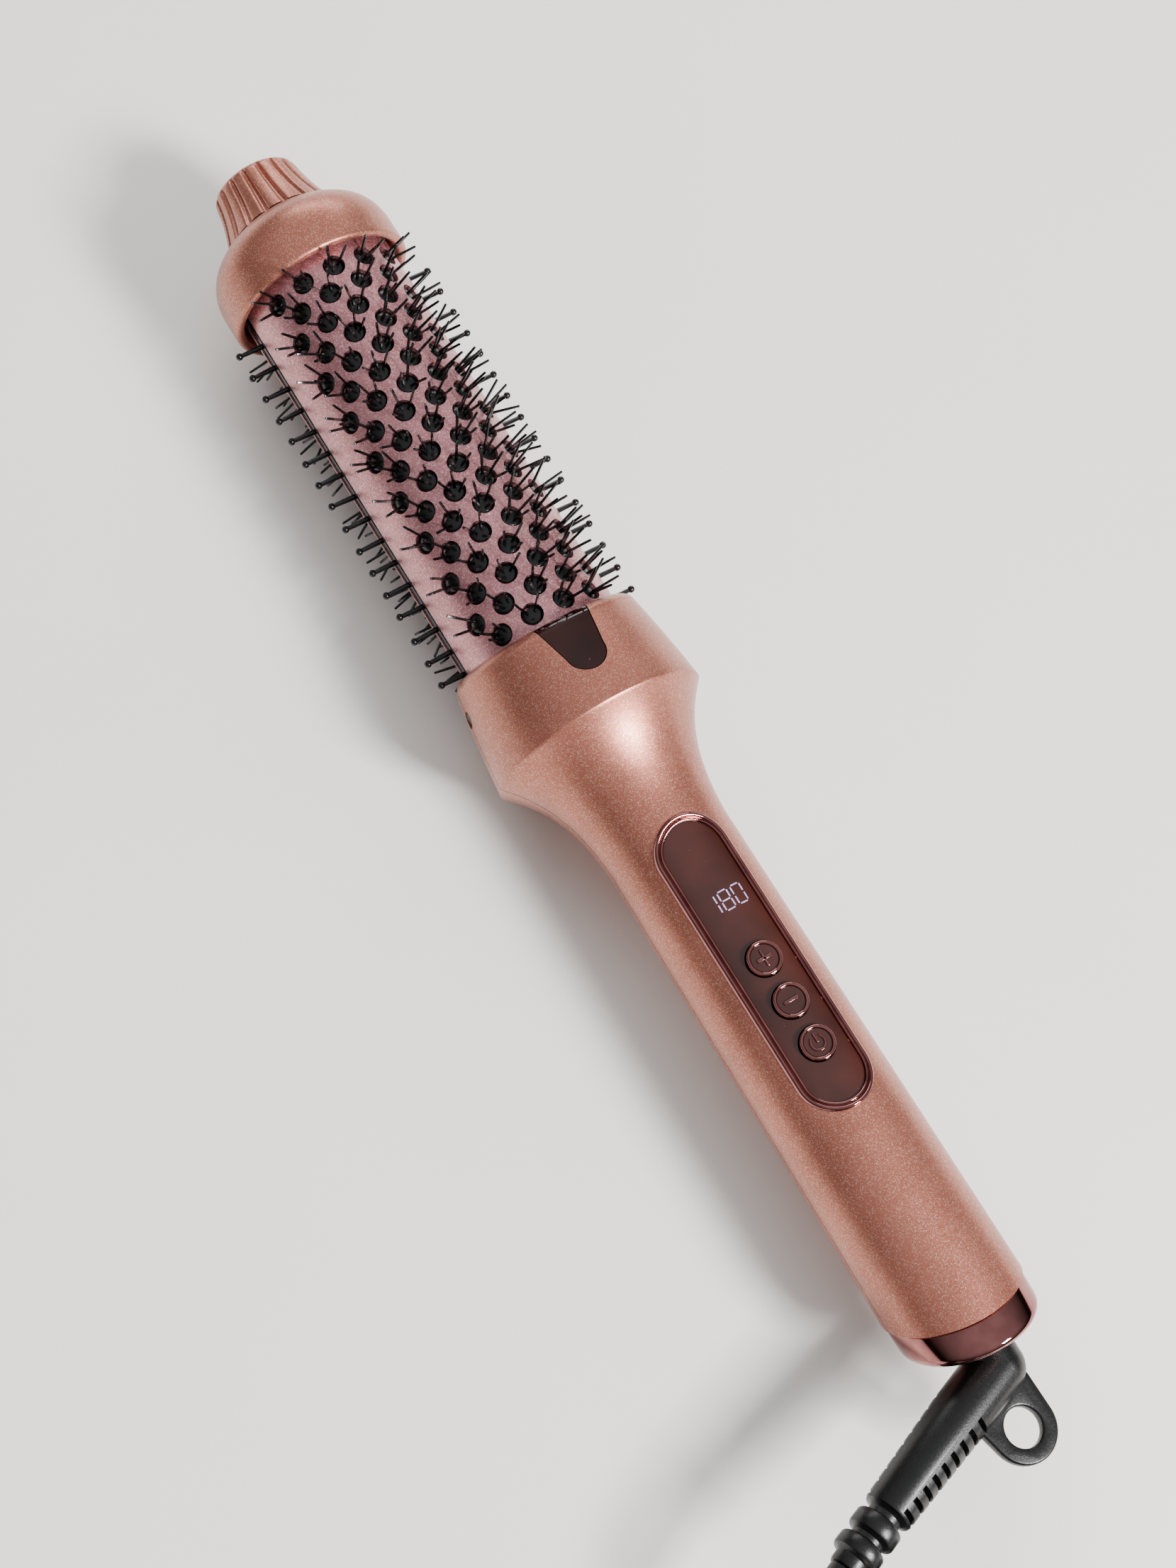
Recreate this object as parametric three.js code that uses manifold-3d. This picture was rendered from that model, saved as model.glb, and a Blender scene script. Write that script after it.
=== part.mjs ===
// A heated round styling brush with a swivelling mains cord. Millimetres, +Z up.
// It lies along X: the cool tip points to -X, the handle to +X, and the control panel faces up.
// Stations are measured along the brush's axis from the flat end of the tip knob.
import * as THREE from "three";
import { mergeVertices } from "three/addons/utils/BufferGeometryUtils.js";
import Module from "manifold-3d";

const wasm = await Module();
wasm.setup();

// ---------------------------------------------------------------- driving dimensions
const clearance = 0.3; // between pieces that touch
const partingGap = 0.3; // between the two halves of the handle

const knobLength = 14.8;
const knobEndRadius = 10.4;
const knobBaseRadius = 14.2;
const knobWall = 2.2;
const fluteCount = 18;
const fluteWidth = 0.9;
const fluteDepth = 0.7;

const collarLength = 18.6;
const collarRadius = 22.5;
const collarWall = 2.0;
const collarShoulder = 12; // axial length of the rounded front shoulder
const lipRound = 1.4;

const barrelLength = 97.8; // between the collar's lip and the bell's mouth at its sides
const barrelRadius = 19;
const barrelWall = 1.2;
const frontSeat = 4.4; // hidden length in the collar
const rearSeat = 7; // and in the bell
const seatGap = 0.4; // round the barrel in its seats
const spigotWall = 2;
const spigotLength = 5;
const tipPlateThickness = 2.4;
const mountPlateThickness = 3;
const wireHoleRadius = 5;
const barrelSlot = 4.4; // gap between the barrel's two halves, which the pin strips fill

const holeRadius = 2.65;
const holeRowPitch = 5.52;
const holeRows = 18;
const holeAngle = 24.5; // degrees between two holes of a row
const firstHoleRow = 3.5; // from the collar's lip

const bristleTipRadius = 25.8;
const bristleRootRadius = 1.5;
const bristleEndRadius = 0.35;
const carrierWall = 1.5;

const pinCount = 16;
const pinPitch = 6.12;
const firstPin = 5.1; // from the collar's lip
const pinReach = 24.8; // from the brush's axis to a ball's centre
const pinBallRadius = 0.75;
const pinRootRadius = 0.5;
const pinNeckRadius = 0.4;
const stripSink = 0.4; // of a strip's face below the barrel's surface
const stripHeight = 3.2;

const bellLength = 26.1; // mouth to crease
const mouthSweep = 3.3; // how much further back the mouth lies on top than at its sides
const bellMouthRadius = 22.8;
const bellRound = 3.3;
const creaseRadius = 25.7;
const creaseStep = 0.4; // the crease's small flat, along the axis
const creaseDrop = 0.3; // and towards it
const bellFullness = 1.1; // how far the bell's curve is pulled in before the crease
const neckShoulder = 20; // radius that the neck's curve leaves the crease towards
const neckLength = 29.4; // crease to the slim end of the neck
const neckRadius = 14.6;
const gripLength = 111.8; // slim end of the neck to the end plane, on the axis
const gripEndRadius = 15.7;
const shellWall = 2.2;
const skirtDepth = 0.6; // of the bezel below the inside of the wall
const endSlant = 24.5; // degrees that the handle's end plane leans from square

const portRadius = 2;
const portStation = 9; // from the bell's mouth
const portPlugInset = 3.4; // from the crease's radius to a plug's middle
const portPlugLength = 2;
const windowHalfWidth = 7.6; // at the mouth
const windowEndRadius = 4.6;
const windowLength = 18.4;
const windowOverrun = 4; // of its outline past the mouth, where it is a little wider
const windowFlare = 0.6;

const panelStart = 26.7; // from the crease
const panelLength = 72.2;
const panelHalfWidth = 8.75;
const bezelWidth = 1.9;
const bezelProud = 0.7;
const facingDrop = 0.3; // of the panel's facing below the handle's surface
const facingThickness = 1.6;
const buttonRadius = 3.9;
const buttonPitch = 10.41;
const buttonProud = 0.7;
const firstButton = 36.1; // from the panel's start
const buttonTravel = 0.8;
const buttonHeight = 3.2;
const buttonRimWidth = 0.75;
const buttonWell = 0.6;
const buttonStemRadius = 1.6;
const displayStation = 22; // from the panel's start
const displayLength = 17;
const displayWidth = 8.4;
const boardTop = 5.2; // above the axis
const boardThickness = 1.6;
const boardWidth = 17;
const switchSize = 5.2;
const switchHeight = 3.4;
const plungerHeight = 0.9;
const plungerRadius = 1.4;
const displayGap = 1.2; // under the facing

const capThickness = 7.9;
const capRadius = 15.2;
const capRound = 2.5;
const bootRadius = 6.2;
const spindleRadius = 5.2;
const bushLength = 10;
const bushStation = 17; // from the end plane back to the bush's front
const ringLength = 2.4;
const ringProud = 1.8; // of a slip ring, and of the spindle's flange, over the spindle
const ringSetbacks = [7.2, 11]; // from the bush's front to each slip ring
const spindleFlange = 2.4;
const contactWidth = 12;
const contactGap = 0.8; // under the slip rings
const contactLift = 1.2; // over the inside of the wall
const elbowStation = 17.4; // past the end plane on the axis
const armAngle = 72.5; // degrees between the arm and the handle's axis
const armLength = 54;
const armTaper = [14, 39.4, 5.35]; // where the taper starts and ends along the arm, and its last radius
const armCollars = [[42, 45.4, 5.15], [47.8, 50.8, 5.05]]; // start, end and radius of each collar
const armChamfer = 0.6; // along the arm beside a collar
const armNeckSleeve = 0.45; // wall of the arm's thin parts over the cord
const armTurn = -8; // degrees that the swivel stands turned at rest
const loopHoleRadius = 4.3;
const loopRadius = 7.7;
const loopThickness = 2.6;
const loopAlong = 6.1; // hole's place along the arm
const loopAside = 11.5; // and beside it
const loopBack = [-3.6, 5.4]; // where the loop's plate leaves the boot, along and aside
const loopFront = [13.5, 4.6];
const loopHeel = -2.6;

const screwShank = 1.1;
const screwHead = 2.5;
const bossRadius = 3.4;
const tipHeadHeight = 1.8;
const tipShankLength = 6;
const pillarSink = 0.6; // of a pillar's top below the grip's surface
const handleHeadHeight = 2;
const handleShankTop = 7.6; // above the axis
const shankRoom = 1; // past a shank's end

const cordRadius = 3.15;
const leadRadius = 1.2;
const sensorLength = 6;
const sensorRadius = 1.2;
const fuseLength = 10;
const fuseRadius = 1.7;
const fuseSetback = 14; // from the heater's rear end

// ---------------------------------------------------------------- stations
const collarX = knobLength;
const lipX = collarX + collarLength;
const mouthX = lipX + barrelLength;
const creaseX = mouthX + bellLength;
const gripX = creaseX + neckLength;
const endX = gripX + gripLength;
const barrelStart = lipX - frontSeat;
const barrelEnd = mouthX + rearSeat;
const carrierRadius = barrelRadius - barrelWall - clearance;
const coreRadius = carrierRadius - carrierWall - clearance; // what the carriers leave free
const panelX = creaseX + panelStart;
const endSlope = Math.tan(THREE.MathUtils.degToRad(endSlant));
const gripRadiusAt = (x) =>
  THREE.MathUtils.lerp(neckRadius, gripEndRadius, (x - gripX) / gripLength);

// ---------------------------------------------------------------- materials
const finish = (color, roughness, metalness) =>
  new THREE.MeshStandardMaterial({ color, roughness, metalness });
const satinPaint = finish(0xb5705f, 0.42, 0.75);
const barrelCoat = finish(0xc08588, 0.38, 0.7);
const blackNylon = finish(0x0c0c0d, 0.35, 0);
const platedRose = finish(0x8a5a58, 0.06, 1);
const darkAcrylic = finish(0x1a0806, 0.05, 0);
const blackRubber = finish(0x111213, 0.55, 0);
const steel = finish(0xa8a9ad, 0.3, 1);
const brass = finish(0xb08d4a, 0.3, 1);
const aluminium = finish(0xb9bbbe, 0.4, 1);
const ceramic = finish(0xd8d4c8, 0.7, 0);
const heatPlastic = finish(0x2a2826, 0.6, 0);
const boardGreen = finish(0x1d5a35, 0.5, 0);

// ---------------------------------------------------------------- solids
function solid(geometry) {
  const bare = geometry.clone();
  bare.deleteAttribute("normal");
  bare.deleteAttribute("uv");
  const merged = mergeVertices(bare, 1e-4);
  const source = merged.index.array;
  const corners = [];
  for (let i = 0; i < source.length; i += 3) {
    const [a, b, c] = source.slice(i, i + 3);
    if (a !== b && b !== c && a !== c) corners.push(a, b, c);
  }
  const build = (order) =>
    new wasm.Manifold(
      new wasm.Mesh({
        numProp: 3,
        vertProperties: merged.attributes.position.array,
        triVerts: new Uint32Array(order),
      }),
    );
  const made = build(corners);
  return made.volume() > 0 ? made : build(corners.reverse());
}

const union = (parts) => parts.reduce((sum, part) => sum.add(part));

// A profile of [station, radius] points turned about the X axis.
function turned(profile, segments = 24) {
  const points = profile.map(([x, r]) => new THREE.Vector2(r, x));
  return solid(
    new THREE.LatheGeometry(points, segments).rotateZ(-Math.PI / 2),
  );
}

const rod = (x0, x1, radius, segments = 20) =>
  turned([[x0, 0], [x0, radius], [x1, radius], [x1, 0]], segments);

const ring = (x0, x1, inner, outer, segments = 20) =>
  turned([[x0, inner], [x0, outer], [x1, outer], [x1, inner], [x0, inner]], segments);

function block(x0, x1, y0, y1, z0, z1) {
  const box = new THREE.BoxGeometry(x1 - x0, y1 - y0, z1 - z0);
  return solid(box.translate((x0 + x1) / 2, (y0 + y1) / 2, (z0 + z1) / 2));
}

function post(x, y, z0, z1, radius, segments = 16) {
  const pin = new THREE.CylinderGeometry(radius, radius, z1 - z0, segments);
  return solid(pin.rotateX(Math.PI / 2).translate(x, y, (z0 + z1) / 2));
}

const far = 400; // longer than the brush
const above = (z) => block(-far, far, -far, far, z, far);
const below = (z) => block(-far, far, -far, far, -far, z);

// An outline in the XY plane stood up between two heights.
const prism = (shape, z0, z1, curveSegments = 8) =>
  solid(
    new THREE.ExtrudeGeometry(shape, {
      depth: z1 - z0,
      bevelEnabled: false,
      curveSegments,
    }).translate(0, 0, z0),
  );

function obround(x0, x1, halfWidth) {
  const shape = new THREE.Shape();
  shape.moveTo(x0 + halfWidth, -halfWidth);
  shape.lineTo(x1 - halfWidth, -halfWidth);
  shape.absarc(x1 - halfWidth, 0, halfWidth, -Math.PI / 2, Math.PI / 2, false);
  shape.lineTo(x0 + halfWidth, halfWidth);
  shape.absarc(x0 + halfWidth, 0, halfWidth, Math.PI / 2, (3 * Math.PI) / 2, false);
  return shape;
}

const curvePoints = (curve, count) =>
  curve.getPoints(count).map((p) => [p.x, p.y]);

const quarter = (x, r, width, height, from, to, count = 4) =>
  curvePoints(
    new THREE.EllipseCurve(x, r, width, height, from, to, to < from),
    count,
  );

const pieces = [];
const cordPieces = [];

function addMesh(list, name, part, material) {
  const { numProp, vertProperties, triVerts } = part.getMesh();
  const positions = new Float32Array((vertProperties.length / numProp) * 3);
  for (let i = 0; i < positions.length / 3; i++)
    positions.set(vertProperties.subarray(i * numProp, i * numProp + 3), i * 3);
  const geometry = new THREE.BufferGeometry()
    .setAttribute("position", new THREE.BufferAttribute(positions, 3))
    .setIndex(new THREE.BufferAttribute(triVerts, 1));
  geometry.computeVertexNormals();
  const mesh = new THREE.Mesh(geometry, material);
  mesh.name = name;
  list.push(mesh);
  return mesh;
}
const add = (name, part, material) => addMesh(pieces, name, part, material);

// ---------------------------------------------------------------- cool tip
function knobFlare(inset, x0, x1) {
  const flare = new THREE.QuadraticBezierCurve(
    new THREE.Vector2(x0, knobEndRadius - inset),
    new THREE.Vector2(x0 + 0.62 * (x1 - x0), knobEndRadius + 0.6 - inset),
    new THREE.Vector2(x1, knobBaseRadius - inset),
  );
  return curvePoints(flare, 3);
}

function tipKnob() {
  const base = knobLength - clearance;
  const outer = turned([[0, 0], ...knobFlare(0, 0, base), [base, 0]], fluteCount);
  const inner = turned(
    [[knobWall, 0], ...knobFlare(knobWall, knobWall, base + 1), [base + 1, 0]],
    16,
  );
  const lean = Math.atan2(knobBaseRadius - knobEndRadius, knobLength);
  const flutes = [];
  for (let i = 0; i < fluteCount; i++) {
    const slot = new THREE.BoxGeometry(2 * knobLength, fluteWidth, 2 * fluteDepth)
      .rotateY(-lean)
      .translate(knobLength / 2, 0, (knobEndRadius + knobBaseRadius) / 2 - 0.5)
      .rotateX(((i + 0.5) * 2 * Math.PI) / fluteCount);
    flutes.push(solid(slot));
  }
  add("tip_knob", outer.subtract(union(flutes)).subtract(inner), satinPaint);
}

function tipCollar() {
  const faceInner = screwShank + clearance;
  const lipInner = barrelRadius + 1.2;
  const plateBack = collarX + collarWall;
  const shoulder = curvePoints(
    new THREE.CubicBezierCurve(
      new THREE.Vector2(collarX, knobBaseRadius),
      new THREE.Vector2(collarX + 0.24 * collarShoulder, collarRadius - 2.3),
      new THREE.Vector2(collarX + 0.52 * collarShoulder, collarRadius),
      new THREE.Vector2(collarX + collarShoulder, collarRadius),
    ),
    5,
  );
  const lip = quarter(
    lipX - lipRound,
    collarRadius - lipRound,
    lipRound,
    lipRound,
    Math.PI / 2,
    0,
    2,
  );
  const profile = [
    [collarX, faceInner],
    ...shoulder,
    ...lip,
    [lipX, lipInner],
    [plateBack + 0.5 * collarShoulder, lipInner],
    [plateBack + 0.25 * collarShoulder, collarRadius - 5],
    [plateBack, knobBaseRadius - collarWall],
    [plateBack, faceInner],
    [collarX, faceInner],
  ];
  add("tip_collar", turned(profile, 28), satinPaint);
}

// The plate that closes the barrel's front end and centres it in the collar.
function tipPlate() {
  const flange = barrelStart - clearance - tipPlateThickness;
  const spigotEnd = barrelStart + spigotLength;
  const spigotInner = coreRadius - spigotWall;
  const profile = [
    [flange, screwShank + clearance],
    [flange, barrelRadius],
    [barrelStart - clearance, barrelRadius],
    [barrelStart - clearance, coreRadius],
    [spigotEnd, coreRadius],
    [spigotEnd, spigotInner],
    [flange + tipPlateThickness, spigotInner],
    [flange + tipPlateThickness, screwShank + clearance],
    [flange, screwShank + clearance],
  ];
  add("tip_plate", turned(profile), heatPlastic);
  const head = collarX - clearance;
  const screw = turned(
    [
      [head - tipHeadHeight, 0],
      [head - tipHeadHeight, screwHead],
      [head, screwHead],
      [head, screwShank],
      [flange + tipShankLength, screwShank],
      [flange + tipShankLength, 0],
    ],
    16,
  );
  add("tip_screw", screw, steel);
}

// ---------------------------------------------------------------- barrel
// Hole centres of one half: [station, angle from straight up in degrees].
const holeSites = [];
for (let row = 0; row < holeRows; row++) {
  const perRow = row % 2 ? 4 : 5;
  for (let k = 0; k < perRow; k++)
    holeSites.push([
      lipX + firstHoleRow + row * holeRowPitch,
      (k - (perRow - 1) / 2) * holeAngle,
    ]);
}

const standAt = (geometry, [x, angle]) =>
  geometry.translate(x, 0, 0).rotateX(THREE.MathUtils.degToRad(-angle));

function barrelHalf() {
  const tube = ring(
    barrelStart,
    barrelEnd,
    barrelRadius - barrelWall,
    barrelRadius,
    20,
  ).intersect(above(barrelSlot / 2));
  const drills = holeSites.map((site) => {
    const drill = new THREE.CylinderGeometry(holeRadius, holeRadius, 6, 4)
      .rotateX(Math.PI / 2)
      .translate(0, 0, barrelRadius);
    return solid(standAt(drill, site));
  });
  return tube.subtract(union(drills));
}

// A curved carrier inside the barrel half, with one tapered stem per hole for its bristles.
function bristleCarrier() {
  const arch = ring(
    barrelStart + 1,
    barrelEnd - 1,
    carrierRadius - carrierWall,
    carrierRadius,
    20,
  ).intersect(above(barrelSlot / 2));
  const root = carrierRadius - carrierWall / 2;
  const stems = holeSites.map((site) => {
    const height = bristleTipRadius - root;
    const stem = new THREE.CylinderGeometry(bristleEndRadius, bristleRootRadius, height, 3)
      .rotateX(Math.PI / 2)
      .translate(0, 0, root + height / 2);
    return solid(standAt(stem, site));
  });
  return arch.add(union(stems));
}

function pinStrip() {
  const outer = barrelRadius - stripSink;
  const parts = [
    block(
      barrelStart + 1,
      barrelEnd - 1,
      carrierRadius - carrierWall,
      outer,
      -stripHeight / 2,
      stripHeight / 2,
    ),
  ];
  for (let i = 0; i < pinCount; i++) {
    const x = lipX + firstPin + i * pinPitch;
    const height = pinReach - outer + 0.5;
    const stem = new THREE.CylinderGeometry(pinNeckRadius, pinRootRadius, height, 4);
    parts.push(solid(stem.translate(x, pinReach - height / 2, 0)));
    const ball = new THREE.SphereGeometry(pinBallRadius, 5, 3);
    parts.push(solid(ball.translate(x, pinReach, 0)));
  }
  return union(parts);
}

const upsideDown = (part) => part.rotate([180, 0, 0]);

function barrel() {
  const half = barrelHalf();
  add("barrel_upper_shell", half, barrelCoat);
  add("barrel_lower_shell", upsideDown(half), barrelCoat);
  const carrier = bristleCarrier();
  add("upper_bristle_carrier", carrier, blackNylon);
  add("lower_bristle_carrier", upsideDown(carrier), blackNylon);
  const strip = pinStrip();
  add("right_pin_strip", strip, blackNylon);
  add("left_pin_strip", upsideDown(strip), blackNylon);
}

// The plate that holds the barrel's rear end in the bell.
function barrelMount() {
  const front = barrelEnd + clearance;
  const flangeRadius = barrelRadius + seatGap;
  const spigotStart = barrelEnd - spigotLength;
  const spigotInner = coreRadius - spigotWall;
  const profile = [
    [spigotStart, spigotInner],
    [spigotStart, coreRadius],
    [front, coreRadius],
    [front, flangeRadius],
    [front + mountPlateThickness, flangeRadius],
    [front + mountPlateThickness, wireHoleRadius],
    [front, wireHoleRadius],
    [front, spigotInner],
    [spigotStart, spigotInner],
  ];
  add("barrel_mount", turned(profile), heatPlastic);
}

// The heater: a flat ceramic element clamped in an aluminium sleeve, with its sensor and fuse.
const heaterX0 = barrelStart + 8;
const heaterX1 = barrelEnd - 8;
const sleeveWidth = 22;
const sleeveHeight = 12;
const elementWidth = 16;
const elementHeight = 4;

function heater() {
  const slotWidth = elementWidth / 2 + clearance;
  const slotHeight = elementHeight / 2 + clearance;
  const sleeve = block(
    heaterX0,
    heaterX1,
    -sleeveWidth / 2,
    sleeveWidth / 2,
    -sleeveHeight / 2,
    sleeveHeight / 2,
  ).subtract(
    block(heaterX0 - 1, heaterX1 + 1, -slotWidth, slotWidth, -slotHeight, slotHeight),
  );
  add("heater_sleeve", sleeve, aluminium);
  const element = block(
    heaterX0 + 2,
    heaterX1 - 2,
    -elementWidth / 2,
    elementWidth / 2,
    -elementHeight / 2,
    elementHeight / 2,
  );
  add("heater_element", element, ceramic);
  const top = sleeveHeight / 2 + clearance;
  const sensorX = (heaterX0 + heaterX1) / 2;
  const sensor = rod(
    sensorX - sensorLength / 2,
    sensorX + sensorLength / 2,
    sensorRadius,
    12,
  ).translate([0, 0, top + sensorRadius]);
  add("temperature_sensor", sensor, ceramic);
  const fuseX = heaterX1 - fuseSetback;
  const fuse = rod(
    fuseX - fuseLength / 2,
    fuseX + fuseLength / 2,
    fuseRadius,
    12,
  ).translate([0, 0, top + fuseRadius]);
  add("thermal_fuse", fuse, steel);
}

// ---------------------------------------------------------------- handle
// The mouth is swept: it lies further back towards the top and the bottom of the bell.
function swept(part) {
  const { numProp, vertProperties, triVerts } = part.getMesh();
  for (let i = 0; i < vertProperties.length; i += numProp) {
    const [x, y, z] = vertProperties.subarray(i, i + 3);
    const share = THREE.MathUtils.clamp((creaseX - x) / bellLength, 0, 1);
    const reach = Math.max(Math.hypot(y, z), barrelRadius);
    vertProperties[i] += (mouthSweep * share * Math.abs(z)) / reach;
  }
  return new wasm.Manifold(new wasm.Mesh({ numProp, vertProperties, triVerts }));
}

// The outside of the bell, neck and grip, moved out by offset, as [station, radius] points.
function handleOutline(offset) {
  const lip = quarter(
    mouthX + bellRound,
    bellMouthRadius - bellRound,
    bellRound + offset,
    bellRound + offset,
    Math.PI,
    Math.PI / 2,
    3,
  );
  const cone = new THREE.QuadraticBezierCurve(
    new THREE.Vector2(mouthX + bellRound, bellMouthRadius + offset),
    new THREE.Vector2(mouthX + 0.55 * bellLength, creaseRadius - bellFullness + offset),
    new THREE.Vector2(creaseX, creaseRadius + offset),
  );
  const neck = new THREE.CubicBezierCurve(
    new THREE.Vector2(creaseX + creaseStep, creaseRadius - creaseDrop + offset),
    new THREE.Vector2(creaseX + 0.21 * neckLength, neckShoulder + offset),
    new THREE.Vector2(creaseX + 0.465 * neckLength, neckRadius + 0.6 + offset),
    new THREE.Vector2(gripX, neckRadius + offset),
  );
  const past = 14; // the outline runs past the slanted end plane, which trims it
  return [
    ...lip,
    ...curvePoints(cone, 2).slice(1),
    ...curvePoints(neck, 6),
    [endX + past, gripRadiusAt(endX + past) + offset],
  ];
}

function handleSolid(offset, segments = 32) {
  const outline = handleOutline(offset);
  const first = outline[0][0];
  const last = outline[outline.length - 1][0];
  return swept(turned([[first, 0], ...outline, [last, 0]], segments));
}

// Everything in front of the slanted end plane, shifted along X.
function beforeEnd(shift) {
  const lean = new THREE.Matrix4().set(
    1, 0, endSlope, 0,
    0, 1, 0, 0,
    0, 0, 1, 0,
    0, 0, 0, 1,
  );
  const box = new THREE.BoxGeometry(far, far, far)
    .translate(endX + shift - far / 2, 0, 0)
    .applyMatrix4(lean);
  return solid(box);
}

// The hollow inside the handle: the barrel's seat, the bell and the grip.
function handleHollow() {
  const seat = barrelRadius + seatGap;
  const inside = handleOutline(-shellWall).filter(
    ([x]) => x > barrelEnd + clearance,
  );
  const last = inside[inside.length - 1][0];
  const bellStart = barrelEnd + 0.1;
  return turned(
    [
      [mouthX - 9, 0],
      [mouthX - 9, seat],
      [bellStart, seat],
      [bellStart, inside[0][1]],
      ...inside,
      [last, 0],
    ],
    20,
  );
}

function windowShape(grow) {
  const halfWidth = windowHalfWidth + grow;
  const radius = windowEndRadius + grow;
  const endCentre = mouthX + windowLength - windowEndRadius;
  const shape = new THREE.Shape();
  shape.moveTo(mouthX - windowOverrun, -halfWidth - windowFlare);
  shape.lineTo(endCentre, -radius);
  shape.absarc(endCentre, 0, radius, -Math.PI / 2, Math.PI / 2, false);
  shape.lineTo(mouthX - windowOverrun, halfWidth + windowFlare);
  shape.closePath();
  return shape;
}

const screwStations = [creaseX + 17, panelX + panelLength + 6];

// A boss on the lower half that a screw's head sits in, and its pillar on the upper half.
const lowerBoss = (x) => post(x, 0, -gripEndRadius, -partingGap / 2, bossRadius, 12);
const upperBoss = (x) => post(x, 0, partingGap / 2, neckRadius - pillarSink, bossRadius, 12);
const headSeat = -7; // height of the seat that the screw's head bears on

function screwCuts(x) {
  const head = post(x, 0, -far / 4, headSeat, screwHead + clearance, 12);
  const top = handleShankTop + shankRoom;
  const shank = post(x, 0, headSeat - 1, top, screwShank + clearance, 8);
  return head.add(shank);
}

function ports() {
  const bore = new THREE.CylinderGeometry(portRadius, portRadius, 80, 12);
  return solid(bore.translate(mouthX + portStation, 0, 0));
}

function handleShells() {
  const outside = handleSolid(0);
  const wall = outside.subtract(handleHollow()).intersect(beforeEnd(0));
  const bodyOnly = outside.intersect(beforeEnd(-6));
  const cuts = union(screwStations.map(screwCuts)).add(ports());
  const windowCut = prism(windowShape(clearance / 2), 0, 40);
  const panelCut = prism(
    obround(
      panelX + bezelWidth / 2,
      panelX + panelLength - bezelWidth / 2,
      panelHalfWidth - bezelWidth / 2,
    ),
    0,
    40,
  );
  const upperPillars = union(screwStations.map(upperBoss)).intersect(bodyOnly);
  const upper = wall
    .intersect(above(partingGap / 2))
    .add(upperPillars)
    .subtract(cuts)
    .subtract(windowCut)
    .subtract(panelCut);
  add("handle_upper_shell", upper, satinPaint);
  const lowerBosses = union(screwStations.map(lowerBoss)).intersect(bodyOnly);
  const lower = wall
    .intersect(below(-partingGap / 2))
    .add(lowerBosses)
    .subtract(cuts);
  add("handle_lower_shell", lower, satinPaint);
  const insert = wall
    .intersect(above(partingGap / 2 + 6))
    .intersect(prism(windowShape(-clearance / 2), 0, 40));
  add("bell_window", insert, darkAcrylic);
  screwStations.forEach((x, i) => {
    const place = i ? "rear" : "front";
    const under = headSeat - handleHeadHeight;
    const head = post(x, 0, under, headSeat - clearance, screwHead, 12);
    const shank = post(x, 0, headSeat - 1, handleShankTop, screwShank, 8);
    add("handle_screw_" + place, head.add(shank), steel);
  });
  for (const side of [-1, 1]) {
    const y = side * (creaseRadius - portPlugInset);
    const plug = new THREE.CylinderGeometry(
      portRadius - clearance,
      portRadius - clearance,
      portPlugLength,
      12,
    );
    const name = side < 0 ? "left_port_plug" : "right_port_plug";
    add(name, solid(plug.translate(mouthX + portStation, y, 0)), blackNylon);
  }
}

// ---------------------------------------------------------------- control panel
const buttonNames = ["plus", "minus", "power"];
const buttonX = buttonNames.map((_, i) => panelX + firstButton + i * buttonPitch);

function controlPanel() {
  const x0 = panelX;
  const x1 = panelX + panelLength;
  const inner = panelHalfWidth - bezelWidth;
  const cutWidth = panelHalfWidth - bezelWidth / 2 - clearance;
  const skirtInset = bezelWidth / 2 + clearance;
  const hole = prism(obround(x0 + bezelWidth, x1 - bezelWidth, inner), 0, 30);
  const face = prism(obround(x0, x1, panelHalfWidth), 0, 30)
    .intersect(handleSolid(bezelProud))
    .subtract(handleSolid(clearance));
  const skirt = prism(obround(x0 + skirtInset, x1 - skirtInset, cutWidth), 0, 30)
    .intersect(handleSolid(bezelProud))
    .subtract(handleSolid(-shellWall - skirtDepth, 24));
  add("panel_bezel", face.add(skirt).subtract(hole), platedRose);

  const facingInset = bezelWidth + clearance;
  const facingWidth = inner - clearance;
  const wells = union(
    buttonX.map((x) => post(x, 0, 0, 30, buttonRadius + clearance)),
  );
  const facing = prism(
    obround(x0 + facingInset, x1 - facingInset, facingWidth),
    0,
    30,
  )
    .intersect(handleSolid(-facingDrop))
    .subtract(handleSolid(-facingDrop - facingThickness))
    .subtract(wells);
  add("panel_facing", facing, darkAcrylic);

  const switchTop = boardTop + switchHeight;
  buttonX.forEach((x, i) => {
    const top = gripRadiusAt(x) + buttonProud;
    const under = top - buttonHeight;
    const stemEnd = switchTop + buttonTravel + clearance;
    const rimInner = buttonRadius - buttonRimWidth;
    const well = top - buttonWell;
    const cap = post(x, 0, under, top, buttonRadius).subtract(
      post(x, 0, well, top + 1, rimInner),
    );
    const stem = post(x, 0, stemEnd, under + 1, buttonStemRadius, 12);
    add("button_" + buttonNames[i], cap.add(stem), darkAcrylic);
    const half = switchSize / 2;
    const base = boardTop + clearance;
    const bodyTop = switchTop - plungerHeight;
    const body = block(x - half, x + half, -half, half, base, bodyTop);
    const plunger = post(x, 0, base + 1, switchTop, plungerRadius, 12);
    add("switch_" + buttonNames[i], body.add(plunger), heatPlastic);
  });

  const displayX = x0 + displayStation;
  const board = block(
    x0 + 2,
    x1 - 2,
    -boardWidth / 2,
    boardWidth / 2,
    boardTop - boardThickness,
    boardTop,
  );
  add("control_board", board, boardGreen);
  const display = block(
    displayX - displayLength / 2,
    displayX + displayLength / 2,
    -displayWidth / 2,
    displayWidth / 2,
    boardTop + clearance,
    neckRadius - facingDrop - facingThickness - displayGap,
  );
  add("display_module", display, heatPlastic);
}

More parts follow.
